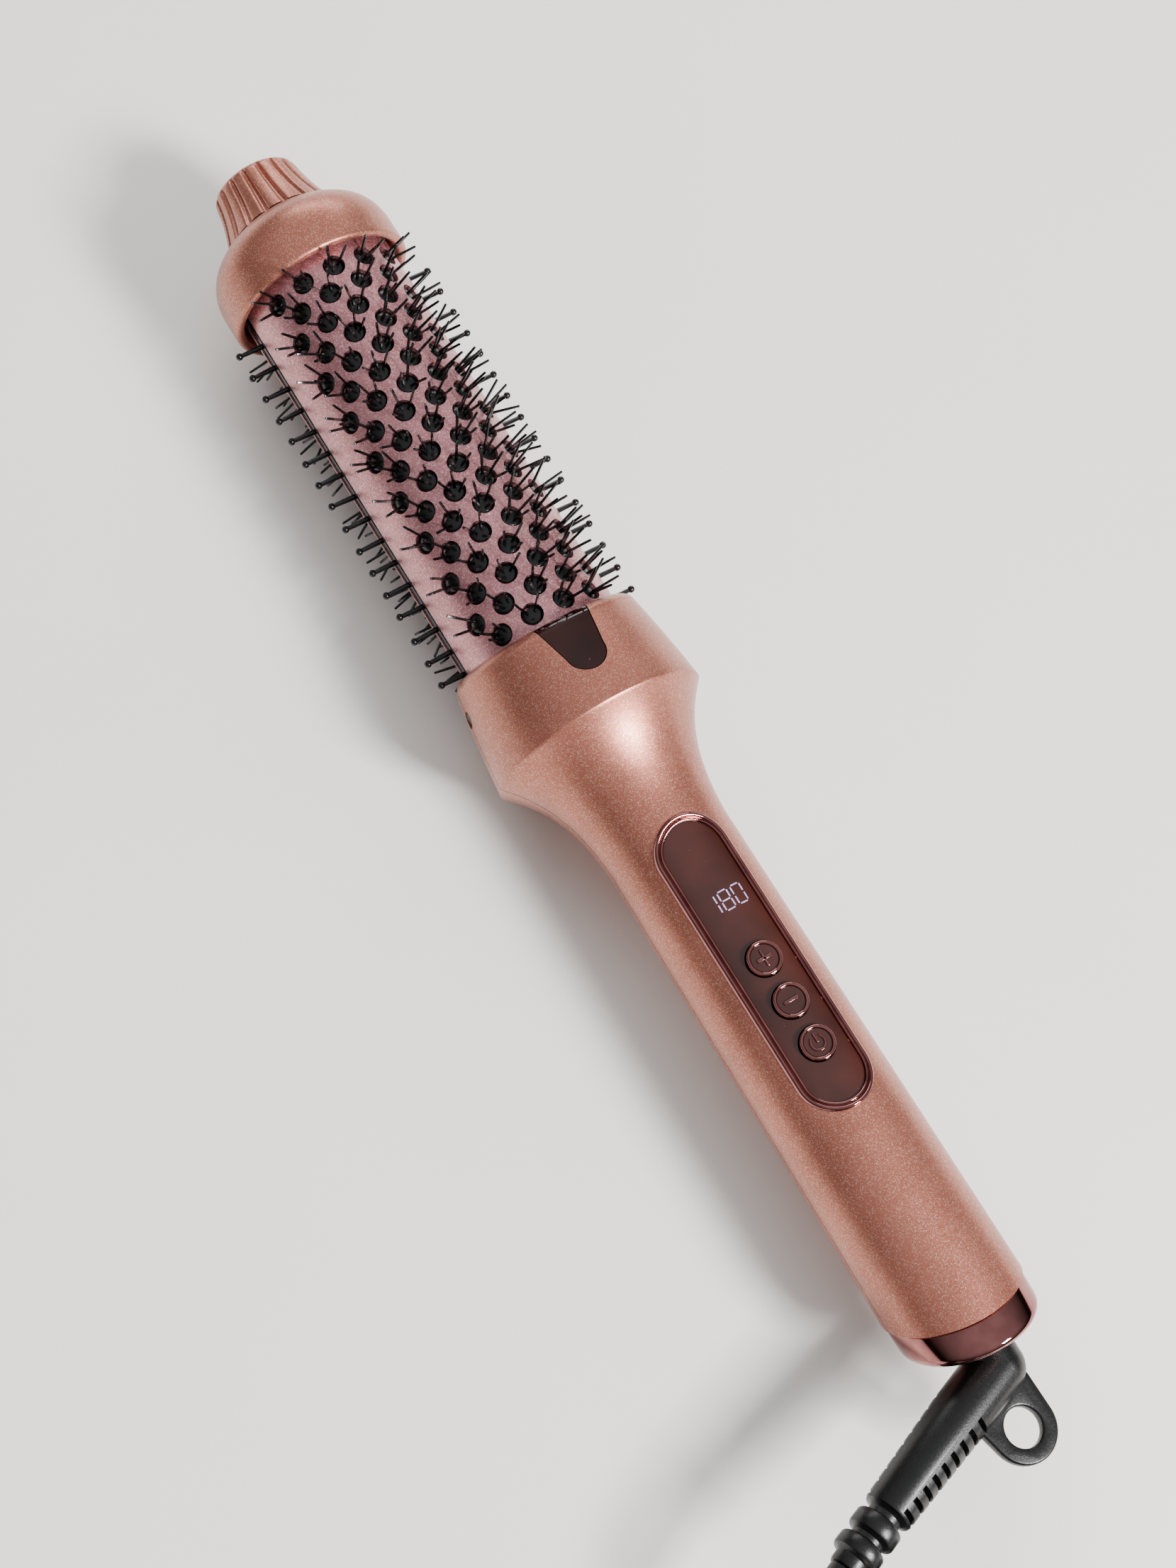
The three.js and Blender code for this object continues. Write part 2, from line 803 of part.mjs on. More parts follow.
// ---------------------------------------------------------------- end cap and swivel
function slanted(part) {
  return part.transform([
    1, 0, 0, 0,
    0, 1, 0, 0,
    endSlope, 0, 1, 0,
    0, 0, 0, 1,
  ]);
}

function endCap() {
  const x0 = endX + clearance;
  const x1 = x0 + capThickness;
  const bore = bootRadius + clearance;
  const rim = quarter(
    x1 - capRound,
    capRadius - capRound,
    capRound,
    capRound,
    Math.PI / 2,
    0,
    4,
  );
  const disc = turned(
    [[x0, bore], [x0, capRadius], ...rim, [x1, bore], [x0, bore]],
    28,
  );
  add("end_cap", slanted(disc), platedRose);
}

const bushX0 = endX - bushStation;
const bushX1 = bushX0 + bushLength;
const ringX = ringSetbacks.map((setback) => bushX0 - setback);

function swivel() {
  const bore = spindleRadius + clearance;
  const seat = gripRadiusAt(bushX0) - shellWall - 2 * clearance;
  add("swivel_bush", ring(bushX0, bushX1, bore, seat), heatPlastic);
  const contact = block(
    ringX[1] - 1,
    ringX[0] + ringLength + 1,
    -contactWidth / 2,
    contactWidth / 2,
    -seat + contactLift,
    -spindleRadius - ringProud - contactGap,
  );
  add("contact_block", contact, heatPlastic);
  ringX.forEach((x, i) => {
    const name = i ? "slip_ring_front" : "slip_ring_rear";
    add(name, ring(x, x + ringLength, bore, spindleRadius + ringProud), brass);
  });
}

// The moulded boot: a spindle through the bush, an elbow, a tapered arm and a hanging loop.
function armProfile() {
  const neck = cordRadius + armNeckSleeve;
  const [taperStart, taperEnd, taperRadius] = armTaper;
  const collars = armCollars.flatMap(([start, end, radius]) => [
    [start - armChamfer, neck],
    [start, radius],
    [end, radius],
    [end + 0.8, neck],
  ]);
  return [
    [0, 0],
    [0, bootRadius],
    [taperStart, bootRadius],
    [taperEnd, taperRadius],
    [taperEnd + 0.8, neck],
    ...collars,
    [armLength, neck],
    [armLength, 0],
  ];
}

function tangentFrom(point, centre, radius, side) {
  const apart = centre.clone().sub(point);
  const reach = apart.length();
  const swing = side * Math.asin(radius / reach);
  const length = Math.sqrt(reach * reach - radius * radius);
  return apart.normalize().rotateAround(new THREE.Vector2(), swing).multiplyScalar(length).add(point);
}

// The loop's plate in the arm's own frame: X along the arm, Y to the outer side.
function hangingLoop() {
  const centre = new THREE.Vector2(loopAlong, loopAside);
  const back = new THREE.Vector2(...loopBack);
  const front = new THREE.Vector2(...loopFront);
  const outline = new THREE.Shape([
    new THREE.Vector2(loopHeel, 0),
    back,
    tangentFrom(back, centre, loopRadius, 1),
    centre,
    tangentFrom(front, centre, loopRadius, -1),
    front,
    new THREE.Vector2(front.x, 0),
  ]);
  const half = loopThickness / 2;
  return prism(outline, -half, half)
    .add(post(centre.x, centre.y, -half, half, loopRadius, 24))
    .subtract(post(centre.x, centre.y, -5, 5, loopHoleRadius, 20));
}

const elbowX = endX + elbowStation;

function cordBoot() {
  const flange = bushX0 - clearance;
  const spindle = turned(
    [
      [ringX[1] - 4, 0],
      [ringX[1] - 4, spindleRadius],
      [flange - spindleFlange, spindleRadius],
      [flange - spindleFlange, spindleRadius + ringProud],
      [flange, spindleRadius + ringProud],
      [flange, spindleRadius],
      [bushX1 + clearance, spindleRadius],
      [bushX1 + clearance, bootRadius],
      [elbowX, bootRadius],
      [elbowX, 0],
    ],
    16,
  );
  const knuckle = solid(
    new THREE.SphereGeometry(bootRadius, 16, 8).translate(elbowX, 0, 0),
  );
  const arm = turned(armProfile(), 16).add(hangingLoop());
  const boot = spindle
    .add(knuckle)
    .add(arm.rotate([0, 0, -armAngle]).translate([elbowX, 0, 0]))
    .rotate([armTurn, 0, 0]);
  add("cord_boot", boot, blackRubber);
}

// ---------------------------------------------------------------- wiring
function tube(points, radius, steps, sides) {
  const section = new THREE.Shape();
  section.absarc(0, 0, radius, 0, 2 * Math.PI, false);
  return new THREE.ExtrudeGeometry(section, {
    steps,
    curveSegments: sides,
    bevelEnabled: false,
    extrudePath: new THREE.CatmullRomCurve3(
      points.map((point) => new THREE.Vector3(...point)),
      false,
      "centripetal",
    ),
  });
}

// Two insulated leads from the heater through the mount's hole to the control board.
function heaterLeads() {
  const start = heaterX1 + 0.6;
  const boardEnd = panelX + 2 - clearance;
  const boardMiddle = boardTop - boardThickness / 2;
  for (const side of [-1, 1]) {
    const route = [
      [start, side * 5, 0],
      [barrelEnd, side * 3, -1],
      [creaseX, side * 5, -2],
      [screwStations[0], side * 6.2, -1],
      [boardEnd - 6, side * 6, boardMiddle],
      [boardEnd, side * 6, boardMiddle],
    ];
    const name = side < 0 ? "heater_lead_left" : "heater_lead_right";
    add(name, solid(tube(route, leadRadius, 7, 5)), heatPlastic);
  }
}

// ---------------------------------------------------------------- cord, in the part's own frame
// The cord leaves the boot, comes down to the table, is coiled there and ends in its plug.
const cordRoute = [
  [175.9, -51.3, 33.0],
  [178.2, -57.9, 33.4],
  [180.8, -64.2, 32.4],
  [183.8, -69.8, 30.3],
  [187.3, -74.7, 26.9],
  [191.2, -78.6, 22.8],
  [195.5, -81.6, 18.5],
  [200.3, -83.8, 14.2],
  [205.8, -85.4, 10.3],
  [211.7, -86.3, 7.2],
  [215.2, -86.6, 6.1],
];
const tailRoute = [
  [213.0, -51.1, 24.3],
  [216.1, -58.6, 24.7],
  [221.0, -65.0, 25.4],
  [227.5, -69.9, 26.3],
  [235.0, -73.0, 27.2],
  [243.0, -74.1, 27.7],
  [244.4, -74.1, 27.75],
];
const coilCentre = [243, -43];
const coilRadius = 37.5; // at the middle of the turns
const coilTurns = 3; // side by side
const coilLayers = 3;
const turnPitch = 6.4;
const tieThickness = 1;
const tieWidth = 9;
const tieAngle = 60; // degrees about the coil's centre

function cordTube(route, name) {
  const lengthOf = (points) =>
    points.slice(1).reduce(
      (sum, point, i) => sum + Math.hypot(...point.map((v, k) => v - points[i][k])),
      0,
    );
  const steps = Math.round(lengthOf(route) / (2.2 * 2 * cordRadius));
  addMesh(cordPieces, name, solid(tube(route, cordRadius, steps, 10)), blackRubber);
}

const coilBase = tieThickness + clearance + 0.1;
const coilTop = coilBase + coilLayers * turnPitch;

function cordCoil() {
  const half = (coilTurns * turnPitch) / 2;
  const inner = coilRadius - half;
  const outer = coilRadius + half;
  const section = [
    [inner, coilBase],
    [outer, coilBase],
    [outer, coilTop],
    [inner, coilTop],
    [inner, coilBase],
  ];
  const points = section.map(([r, z]) => new THREE.Vector2(r, z));
  const coil = solid(new THREE.LatheGeometry(points, 32).rotateX(Math.PI / 2));
  addMesh(cordPieces, "power_cord_coil", coil.translate([...coilCentre, 0]), blackRubber);

  const span = tieWidth / 2;
  const insideGap = inner - Math.sqrt(inner * inner - span * span) + 2 * clearance;
  const x0 = inner - insideGap;
  const x1 = outer + clearance;
  const z0 = coilBase - clearance;
  const z1 = coilTop + clearance;
  const t = tieThickness;
  const strap = block(x0 - t, x1 + t, -span, span, z0 - t, z1 + t)
    .subtract(block(x0, x1, -span - 1, span + 1, z0, z1))
    .rotate([0, 0, tieAngle])
    .translate([...coilCentre, 0]);
  addMesh(cordPieces, "coil_tie", strap, blackRubber);
}

// A two-pin plug that lies on the coil, its pins towards +X.
const plugStart = [245, -74.1]; // where the cord goes into its collar
const plugCollarLength = 14;
const plugBodyLength = 35;
const plugNeckWidth = 11;
const plugWaistWidth = 16;
const plugWaist = 12; // along the body to the waist
const plugShoulder = 17; // and to the full width
const plugWidth = 26;
const plugHeight = 13.7;
const plugCurveSteps = 3;
const plugCollarRadius = 5.4;
const plugPinRadius = 2;
const plugPinSpacing = 19;
const plugPinLength = 19;
const plugPinSeat = 9;

// The plug's own frame: Y along it from the collar's start, Z up from its underside.
function plug() {
  const front = plugCollarLength + plugBodyLength;
  const start = plugCollarLength;
  const half = plugWidth / 2;
  const neck = plugNeckWidth / 2;
  const waist = plugWaistWidth / 2;
  const outline = new THREE.Shape();
  outline.moveTo(-neck, start);
  outline.lineTo(neck, start);
  outline.quadraticCurveTo(waist, start + plugWaist, half, start + plugShoulder);
  outline.lineTo(half, front);
  outline.lineTo(-half, front);
  outline.lineTo(-half, start + plugShoulder);
  outline.quadraticCurveTo(-waist, start + plugWaist, -neck, start);
  const middle = plugHeight / 2;
  const collarReach = plugCollarLength + 1;
  const collar = new THREE.CylinderGeometry(
    plugCollarRadius,
    cordRadius + 1,
    collarReach,
    14,
  ).translate(0, collarReach / 2, middle);
  const bar = (radius, from, to, at) =>
    solid(
      new THREE.CylinderGeometry(radius, radius, to - from, 12)
        .translate(at, (from + to) / 2, middle),
    );
  const place = (part) =>
    part.rotate([0, 0, -90]).translate([...plugStart, coilTop + clearance]);
  const pinX = [plugPinSpacing / 2, -plugPinSpacing / 2];
  const seat = front - plugPinSeat;
  const body = prism(outline, 0, plugHeight, plugCurveSteps)
    .add(solid(collar))
    .subtract(union(pinX.map((at) => bar(plugPinRadius + clearance, seat, front + 1, at))));
  addMesh(cordPieces, "plug_body", place(body), blackRubber);
  pinX.forEach((at, i) => {
    const name = i ? "plug_pin_left" : "plug_pin_right";
    const pin = bar(plugPinRadius, seat + clearance, front + plugPinLength, at);
    addMesh(cordPieces, name, place(pin), brass);
  });
}

tipKnob();
tipCollar();
tipPlate();
barrel();
barrelMount();
heater();
handleShells();
controlPanel();
endCap();
swivel();
cordBoot();
heaterLeads();
cordTube(cordRoute, "power_cord");
cordTube(tailRoute, "power_cord_tail");
cordCoil();
plug();

// ---------------------------------------------------------------- placing
const brush = new THREE.Group();
brush.add(...pieces);
const box = new THREE.Box3();
for (const mesh of pieces)
  if (mesh.name !== "cord_boot") box.expandByObject(mesh);
brush.position.set(-(box.min.x + box.max.x) / 2, 0, -box.min.z);

const part = new THREE.Group();
part.add(brush, ...cordPieces);
export default part;
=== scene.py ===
# A heated round styling brush on a pale table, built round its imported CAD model.
import math
import random
import bpy
import bmesh
from mathutils import Matrix, Vector


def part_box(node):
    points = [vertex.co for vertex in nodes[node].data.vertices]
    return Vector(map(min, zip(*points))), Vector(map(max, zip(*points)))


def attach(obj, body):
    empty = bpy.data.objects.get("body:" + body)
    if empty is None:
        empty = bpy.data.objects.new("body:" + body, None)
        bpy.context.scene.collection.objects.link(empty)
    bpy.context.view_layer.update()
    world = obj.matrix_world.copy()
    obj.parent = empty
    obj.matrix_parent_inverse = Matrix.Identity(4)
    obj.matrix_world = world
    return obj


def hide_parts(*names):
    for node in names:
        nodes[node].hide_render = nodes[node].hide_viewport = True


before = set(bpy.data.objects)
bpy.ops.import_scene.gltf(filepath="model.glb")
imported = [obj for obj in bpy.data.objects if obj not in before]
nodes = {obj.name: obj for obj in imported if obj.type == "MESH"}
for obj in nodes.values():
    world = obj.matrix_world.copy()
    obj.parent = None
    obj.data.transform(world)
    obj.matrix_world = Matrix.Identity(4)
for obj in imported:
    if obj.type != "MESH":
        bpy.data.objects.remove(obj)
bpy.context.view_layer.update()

# The brush's own axis: stations in millimetres from the tip's flat end, y and z about the axis.
mm = 0.001
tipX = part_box("tip_knob")[0].x
collarLow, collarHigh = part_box("tip_collar")
axisZ = (collarLow.z + collarHigh.z) / 2
toFrame = Matrix.Translation((tipX, 0, axisZ)) @ Matrix.Scale(mm, 4)
toRow = Matrix.Scale(mm, 4)  # for what is measured from the frame's origin, such as the cord


# ---- mesh helpers

def lerp(a, b, share):
    return a + (b - a) * share


def newMesh(name, bm, place, sharpAngle=35):
    bmesh.ops.remove_doubles(bm, verts=bm.verts, dist=0.002)
    bmesh.ops.transform(bm, matrix=place, verts=bm.verts)
    mesh = bpy.data.meshes.new(name)
    bm.to_mesh(mesh)
    bm.free()
    mesh.shade_smooth()
    mesh.set_sharp_from_angle(angle=math.radians(sharpAngle))
    return mesh


def newPiece(name, bm, body, material, replaced=(), place=toFrame, sharpAngle=35):
    piece = bpy.data.objects.new(name, newMesh(name, bm, place, sharpAngle))
    bpy.context.scene.collection.objects.link(piece)
    piece.data.materials.append(material)
    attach(piece, body)
    if replaced:
        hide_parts(*replaced)
    return piece


def faceOut(bm):
    bmesh.ops.remove_doubles(bm, verts=bm.verts, dist=0.002)
    bmesh.ops.recalc_face_normals(bm, faces=bm.faces)


# A profile of [station, radius] points spun about the brush's axis.
def spun(profile, steps=128, closed=False):
    bm = bmesh.new()
    verts = [bm.verts.new((x, 0, r)) for x, r in profile]
    edges = [bm.edges.new(pair) for pair in zip(verts, verts[1:])]
    if closed:
        edges.append(bm.edges.new((verts[-1], verts[0])))
    bmesh.ops.spin(bm, geom=verts + edges, cent=(0, 0, 0), axis=(1, 0, 0), angle=2 * math.pi,
                   steps=steps, use_merge=True, use_normal_flip=False, use_duplicate=False)
    faceOut(bm)
    return bm


def arcPoints(x, r, radius, start, end, count):
    angles = [math.radians(lerp(start, end, i / count)) for i in range(count + 1)]
    return [(x + radius * math.cos(a), r + radius * math.sin(a)) for a in angles]


def bezierPoints(p0, p1, p2, p3, count):
    out = []
    for i in range(count + 1):
        t = i / count
        u = 1 - t
        out.append(tuple(u ** 3 * a + 3 * u * u * t * b + 3 * u * t * t * c + t ** 3 * d
                         for a, b, c, d in zip(p0, p1, p2, p3)))
    return out


def block(low, high):
    bm = bmesh.new()
    size = [b - a for a, b in zip(low, high)]
    middle = [(a + b) / 2 for a, b in zip(low, high)]
    bmesh.ops.create_cube(bm, size=1, matrix=Matrix.Translation(middle) @ Matrix.Diagonal((*size, 1)))
    return bm


def rod(start, end, radius, segments=24, endRadius=None):
    bm = bmesh.new()
    start, end = Vector(start), Vector(end)
    along = end - start
    turn = along.to_track_quat("Z", "Y").to_matrix().to_4x4()
    bmesh.ops.create_cone(bm, cap_ends=True, segments=segments, radius1=radius,
                          radius2=radius if endRadius is None else endRadius, depth=along.length,
                          matrix=Matrix.Translation((start + end) / 2) @ turn)
    return bm


def joined(parts):
    whole = bmesh.new()
    for part in parts:
        scratch = bpy.data.meshes.new("scratch")
        part.to_mesh(scratch)
        part.free()
        whole.from_mesh(scratch)
        bpy.data.meshes.remove(scratch)
    return whole


# A flat outline of (x, y) points stood up between two heights.
def prism(outline, low, high):
    bm = bmesh.new()
    face = bm.faces.new([bm.verts.new((x, y, low)) for x, y in outline])
    grown = bmesh.ops.extrude_face_region(bm, geom=[face])
    tops = [v for v in grown["geom"] if isinstance(v, bmesh.types.BMVert)]
    bmesh.ops.translate(bm, verts=tops, vec=(0, 0, high - low))
    faceOut(bm)
    return bm


def obround(x0, x1, half, count=24):
    ends = [(x1 - half, -90), (x0 + half, 90)]
    out = []
    for centre, start in ends:
        out += [(centre + half * math.cos(math.radians(start + 180 * i / count)),
                 half * math.sin(math.radians(start + 180 * i / count))) for i in range(count + 1)]
    return out


# Cuts, joins or crosses solids, each a bmesh of its own.
def combined(first, *steps):
    base = bpy.data.objects.new("base", bpy.data.meshes.new("base"))
    first.to_mesh(base.data)
    first.free()
    bpy.context.scene.collection.objects.link(base)
    tools = []
    for how, tool in steps:
        other = bpy.data.objects.new("tool", bpy.data.meshes.new("tool"))
        tool.to_mesh(other.data)
        tool.free()
        bpy.context.scene.collection.objects.link(other)
        cut = base.modifiers.new(how, "BOOLEAN")
        cut.operation = how
        cut.solver = "EXACT"
        cut.object = other
        tools.append(other)
    bpy.context.view_layer.update()
    made = bpy.data.meshes.new_from_object(base.evaluated_get(bpy.context.evaluated_depsgraph_get()))
    bm = bmesh.new()
    bm.from_mesh(made)
    bpy.data.meshes.remove(made)
    for spent in [base, *tools]:
        shape = spent.data
        bpy.data.objects.remove(spent)
        bpy.data.meshes.remove(shape)
    bmesh.ops.remove_doubles(bm, verts=bm.verts, dist=0.002)
    return bm


# Rounds every edge sharper than an angle.
def softenEdges(bm, width, angle=38, segments=2, only=None):
    limit = math.radians(angle)
    edges = [e for e in bm.edges if len(e.link_faces) == 2 and e.calc_face_angle(0) > limit
             and (only is None or only(e))]
    bmesh.ops.bevel(bm, geom=edges, offset=width, offset_type="OFFSET", affect="EDGES",
                    segments=segments, profile=0.5, material=-1, clamp_overlap=True)


# ---- materials

def hexColour(code):
    parts = [int(code[i:i + 2], 16) / 255 for i in (1, 3, 5)]
    return tuple(c / 12.92 if c <= 0.04045 else ((c + 0.055) / 1.055) ** 2.4 for c in parts) + (1,)


# Adds a node with its settings and its links or values by socket name.
def addNode(tree, kind, settings=None, inputs=None):
    made = tree.nodes.new(kind)
    for key, value in (settings or {}).items():
        setattr(made, key, value)
    for key, value in (inputs or {}).items():
        socket = made.inputs[key]
        if isinstance(value, bpy.types.NodeSocket):
            tree.links.new(value, socket)
        else:
            socket.default_value = value
    return made


def newMaterial(name, **shader):
    material = bpy.data.materials.new(name)
    material.use_nodes = True
    tree = material.node_tree
    bsdf = tree.nodes["Principled BSDF"]
    for key, value in shader.items():
        bsdf.inputs[key.replace("_", " ")].default_value = value
    coords = addNode(tree, "ShaderNodeTexCoord").outputs["Object"]
    return material, tree, bsdf, coords


def blendColours(tree, factor, first, second):
    mix = addNode(tree, "ShaderNodeMix", {"data_type": "RGBA"}, {"Factor": factor})
    for socket, value in ((mix.inputs[6], first), (mix.inputs[7], second)):
        if isinstance(value, bpy.types.NodeSocket):
            tree.links.new(value, socket)
        else:
            socket.default_value = value
    return mix.outputs[2]


def stretch(tree, value, low, high, outLow=0.0, outHigh=1.0):
    return addNode(tree, "ShaderNodeMapRange", None, {
        "Value": value, "From Min": low, "From Max": high, "To Min": outLow, "To Max": outHigh,
    }).outputs["Result"]


def perMetre(millimetres):
    return 1 / (millimetres * mm)


paints = {
    "handle": {"base": "#b26c5a", "deep": "#a56250", "flake": "#f6cbb8", "flakeMm": 0.16, "share": 0.26,
               "roughness": 0.36, "tilt": 0.42},
    "barrel": {"base": "#c08085", "deep": "#b3747a", "flake": "#ffe2e2", "flakeMm": 0.22, "share": 0.34,
               "roughness": 0.33, "tilt": 0.60},
}


# Metallic flake paint: flat flakes in a tinted lacquer, each tilted its own way, so it sparkles.
def flakePaint(name, look):
    material, tree, bsdf, coords = newMaterial(name, Metallic=0.78, IOR=1.5)
    flakes = addNode(tree, "ShaderNodeTexVoronoi", {"feature": "F1"},
                     {"Vector": coords, "Scale": perMetre(look["flakeMm"]), "Randomness": 1.0})
    chance = addNode(tree, "ShaderNodeSeparateColor", None, {"Color": flakes.outputs["Color"]})
    cloud = addNode(tree, "ShaderNodeTexNoise", None,
                    {"Vector": coords, "Scale": perMetre(14), "Detail": 2.0, "Roughness": 0.5})
    ground = blendColours(tree, stretch(tree, cloud.outputs["Fac"], 0.35, 0.65),
                          hexColour(look["deep"]), hexColour(look["base"]))
    bright = stretch(tree, chance.outputs["Red"], 1 - look["share"], 1.0, 0.0, 0.55)
    tree.links.new(blendColours(tree, bright, ground, hexColour(look["flake"])), bsdf.inputs["Base Color"])
    grain = addNode(tree, "ShaderNodeTexNoise", None,
                    {"Vector": coords, "Scale": perMetre(look["flakeMm"] * 0.8), "Detail": 1.0})
    rough = stretch(tree, chance.outputs["Green"], 0, 1, look["roughness"] - 0.07, look["roughness"] + 0.1)
    tree.links.new(rough, bsdf.inputs["Roughness"])
    bump = addNode(tree, "ShaderNodeBump", None,
                   {"Strength": look["tilt"], "Distance": 0.00006, "Height": grain.outputs["Fac"]})
    tree.links.new(bump.outputs["Normal"], bsdf.inputs["Normal"])
    bsdf.inputs["Coat Weight"].default_value = 0.25
    bsdf.inputs["Coat Roughness"].default_value = 0.22
    return material


# Rose-gold vacuum plating under clear lacquer: a mirror with the faint waves of the moulding below.
def rosePlating(name, colour="#a8706c"):
    material, tree, bsdf, coords = newMaterial(name, Metallic=1.0, Roughness=0.05)
    wave = addNode(tree, "ShaderNodeTexNoise", None, {"Vector": coords, "Scale": perMetre(5), "Detail": 2.0})
    tint = blendColours(tree, stretch(tree, wave.outputs["Fac"], 0.3, 0.7),
                        hexColour(colour), hexColour("#8c5a58"))
    tree.links.new(tint, bsdf.inputs["Base Color"])
    tree.links.new(stretch(tree, wave.outputs["Fac"], 0.2, 0.8, 0.03, 0.09), bsdf.inputs["Roughness"])
    bump = addNode(tree, "ShaderNodeBump", None,
                   {"Strength": 0.05, "Distance": 0.0002, "Height": wave.outputs["Fac"]})
    tree.links.new(bump.outputs["Normal"], bsdf.inputs["Normal"])
    return material


# Tinted acrylic: deep red-brown and mirror smooth, with the odd speck of dust.
def tintedAcrylic(name, colour, edge, coat=0.4):
    material, tree, bsdf, coords = newMaterial(name, Metallic=0.0, Roughness=0.06, IOR=1.49)
    depth = addNode(tree, "ShaderNodeTexNoise", None, {"Vector": coords, "Scale": perMetre(14), "Detail": 2.0})
    tint = blendColours(tree, stretch(tree, depth.outputs["Fac"], 0.35, 0.7), hexColour(colour), hexColour(edge))
    dust = addNode(tree, "ShaderNodeTexVoronoi", None, {"Vector": coords, "Scale": perMetre(2.6)})
    speck = stretch(tree, dust.outputs["Distance"], 0.035, 0.05, 1.0, 0.0)
    tree.links.new(blendColours(tree, speck, tint, hexColour("#6b4a44")), bsdf.inputs["Base Color"])
    smear = addNode(tree, "ShaderNodeTexNoise", None, {"Vector": coords, "Scale": perMetre(6), "Detail": 4.0})
    tree.links.new(stretch(tree, smear.outputs["Fac"], 0.3, 0.75, 0.03, 0.16), bsdf.inputs["Roughness"])
    bsdf.inputs["Coat Weight"].default_value = coat
    bsdf.inputs["Coat Roughness"].default_value = 0.03
    return material


# A moulded plastic or rubber: an even colour broken by fine spark-erosion grain.
def mouldedPlastic(name, colour, light, roughness, grainMm=0.35, depth=0.25, **shader):
    material, tree, bsdf, coords = newMaterial(name, Metallic=0.0, **shader)
    grain = addNode(tree, "ShaderNodeTexNoise", None,
                    {"Vector": coords, "Scale": perMetre(grainMm), "Detail": 2.0, "Roughness": 0.6})
    cloud = addNode(tree, "ShaderNodeTexNoise", None, {"Vector": coords, "Scale": perMetre(7), "Detail": 3.0})
    tint = blendColours(tree, stretch(tree, cloud.outputs["Fac"], 0.3, 0.75), hexColour(colour), hexColour(light))
    tree.links.new(tint, bsdf.inputs["Base Color"])
    rough = stretch(tree, grain.outputs["Fac"], 0.3, 0.7, roughness - 0.06, roughness + 0.08)
    tree.links.new(rough, bsdf.inputs["Roughness"])
    bump = addNode(tree, "ShaderNodeBump", None,
                   {"Strength": depth, "Distance": 0.00005, "Height": grain.outputs["Fac"]})
    tree.links.new(bump.outputs["Normal"], bsdf.inputs["Normal"])
    return material


# Bare machined or drawn metal: fine lines along the brush with a little tarnish.
def bareMetal(name, colour, tarnish, roughness):
    material, tree, bsdf, coords = newMaterial(name, Metallic=1.0)
    lines = addNode(tree, "ShaderNodeMapping", None,
                    {"Vector": coords, "Scale": (perMetre(6), perMetre(0.3), perMetre(0.3))})
    grain = addNode(tree, "ShaderNodeTexNoise", None,
                    {"Vector": lines.outputs["Vector"], "Scale": 1.0, "Detail": 3.0})
    cloud = addNode(tree, "ShaderNodeTexNoise", None, {"Vector": coords, "Scale": perMetre(4), "Detail": 4.0})
    tint = blendColours(tree, stretch(tree, cloud.outputs["Fac"], 0.4, 0.8), hexColour(colour), hexColour(tarnish))
    tree.links.new(tint, bsdf.inputs["Base Color"])
    tree.links.new(stretch(tree, grain.outputs["Fac"], 0.3, 0.7, roughness - 0.08, roughness + 0.1),
                   bsdf.inputs["Roughness"])
    bump = addNode(tree, "ShaderNodeBump", None,
                   {"Strength": 0.15, "Distance": 0.00003, "Height": grain.outputs["Fac"]})
    tree.links.new(bump.outputs["Normal"], bsdf.inputs["Normal"])
    return material


# The segments behind the facing: a painted cool violet-white glow, emitted though they are no lamp.
def paintedGlowSegment(name):
    # The emission here is a painted glow.
    material, tree, bsdf, coords = newMaterial(name, Roughness=0.4, Emission_Strength=0.7)
    cloud = addNode(tree, "ShaderNodeTexNoise", None, {"Vector": coords, "Scale": perMetre(1.2), "Detail": 2.0})
    glow = blendColours(tree, stretch(tree, cloud.outputs["Fac"], 0.3, 0.7),
                        hexColour("#8e7bb0"), hexColour("#b8a4c8"))
    tree.links.new(glow, bsdf.inputs["Emission Color"])
    tree.links.new(glow, bsdf.inputs["Base Color"])
    return material


satinPaint = flakePaint("satinCopperFlakePaint", paints["handle"])
barrelPaint = flakePaint("pinkCeramicFlakeCoat", paints["barrel"])
plating = rosePlating("roseGoldPlating")
facingAcrylic = tintedAcrylic("tintedMirrorAcrylic", "#2c110d", "#3d1a14")
windowAcrylic = tintedAcrylic("smokedRedAcrylic", "#120403", "#260a07", 0.1)
nylon = mouldedPlastic("blackNylon", "#030304", "#070708", 0.2, 0.5, 0.06, IOR=1.5)
bootRubber = mouldedPlastic("blackThermoplasticRubber", "#050506", "#0a0a0b", 0.34, 0.4, 0.55, IOR=1.48)
cableSheath = mouldedPlastic("blackVinylSheath", "#060607", "#0c0c0d", 0.36, 0.6, 0.25, IOR=1.48)
print("materials ready")

# ---- camera, floor and light

view = {"place": (127.789, -159.312, 536.331), "right": (0.51630239, 0.84638084, 0.13065725),
        "down": (0.82832533, -0.45477958, -0.32718907), "lens": 57.07}
lens = bpy.data.cameras.new("mainLens")
lens.sensor_fit = "VERTICAL"
lens.sensor_height = 36
lens.lens = view["lens"]
lens.clip_start = 0.01
camera = bpy.data.objects.new("mainCamera", lens)
bpy.context.scene.collection.objects.link(camera)
right, up = Vector(view["right"]).normalized(), -Vector(view["down"]).normalized()
camera.matrix_world = Matrix.Translation(Vector(view["place"]) * mm) @ Matrix(
    (right, up, right.cross(up))).transposed().to_4x4()
bpy.context.scene.camera = camera

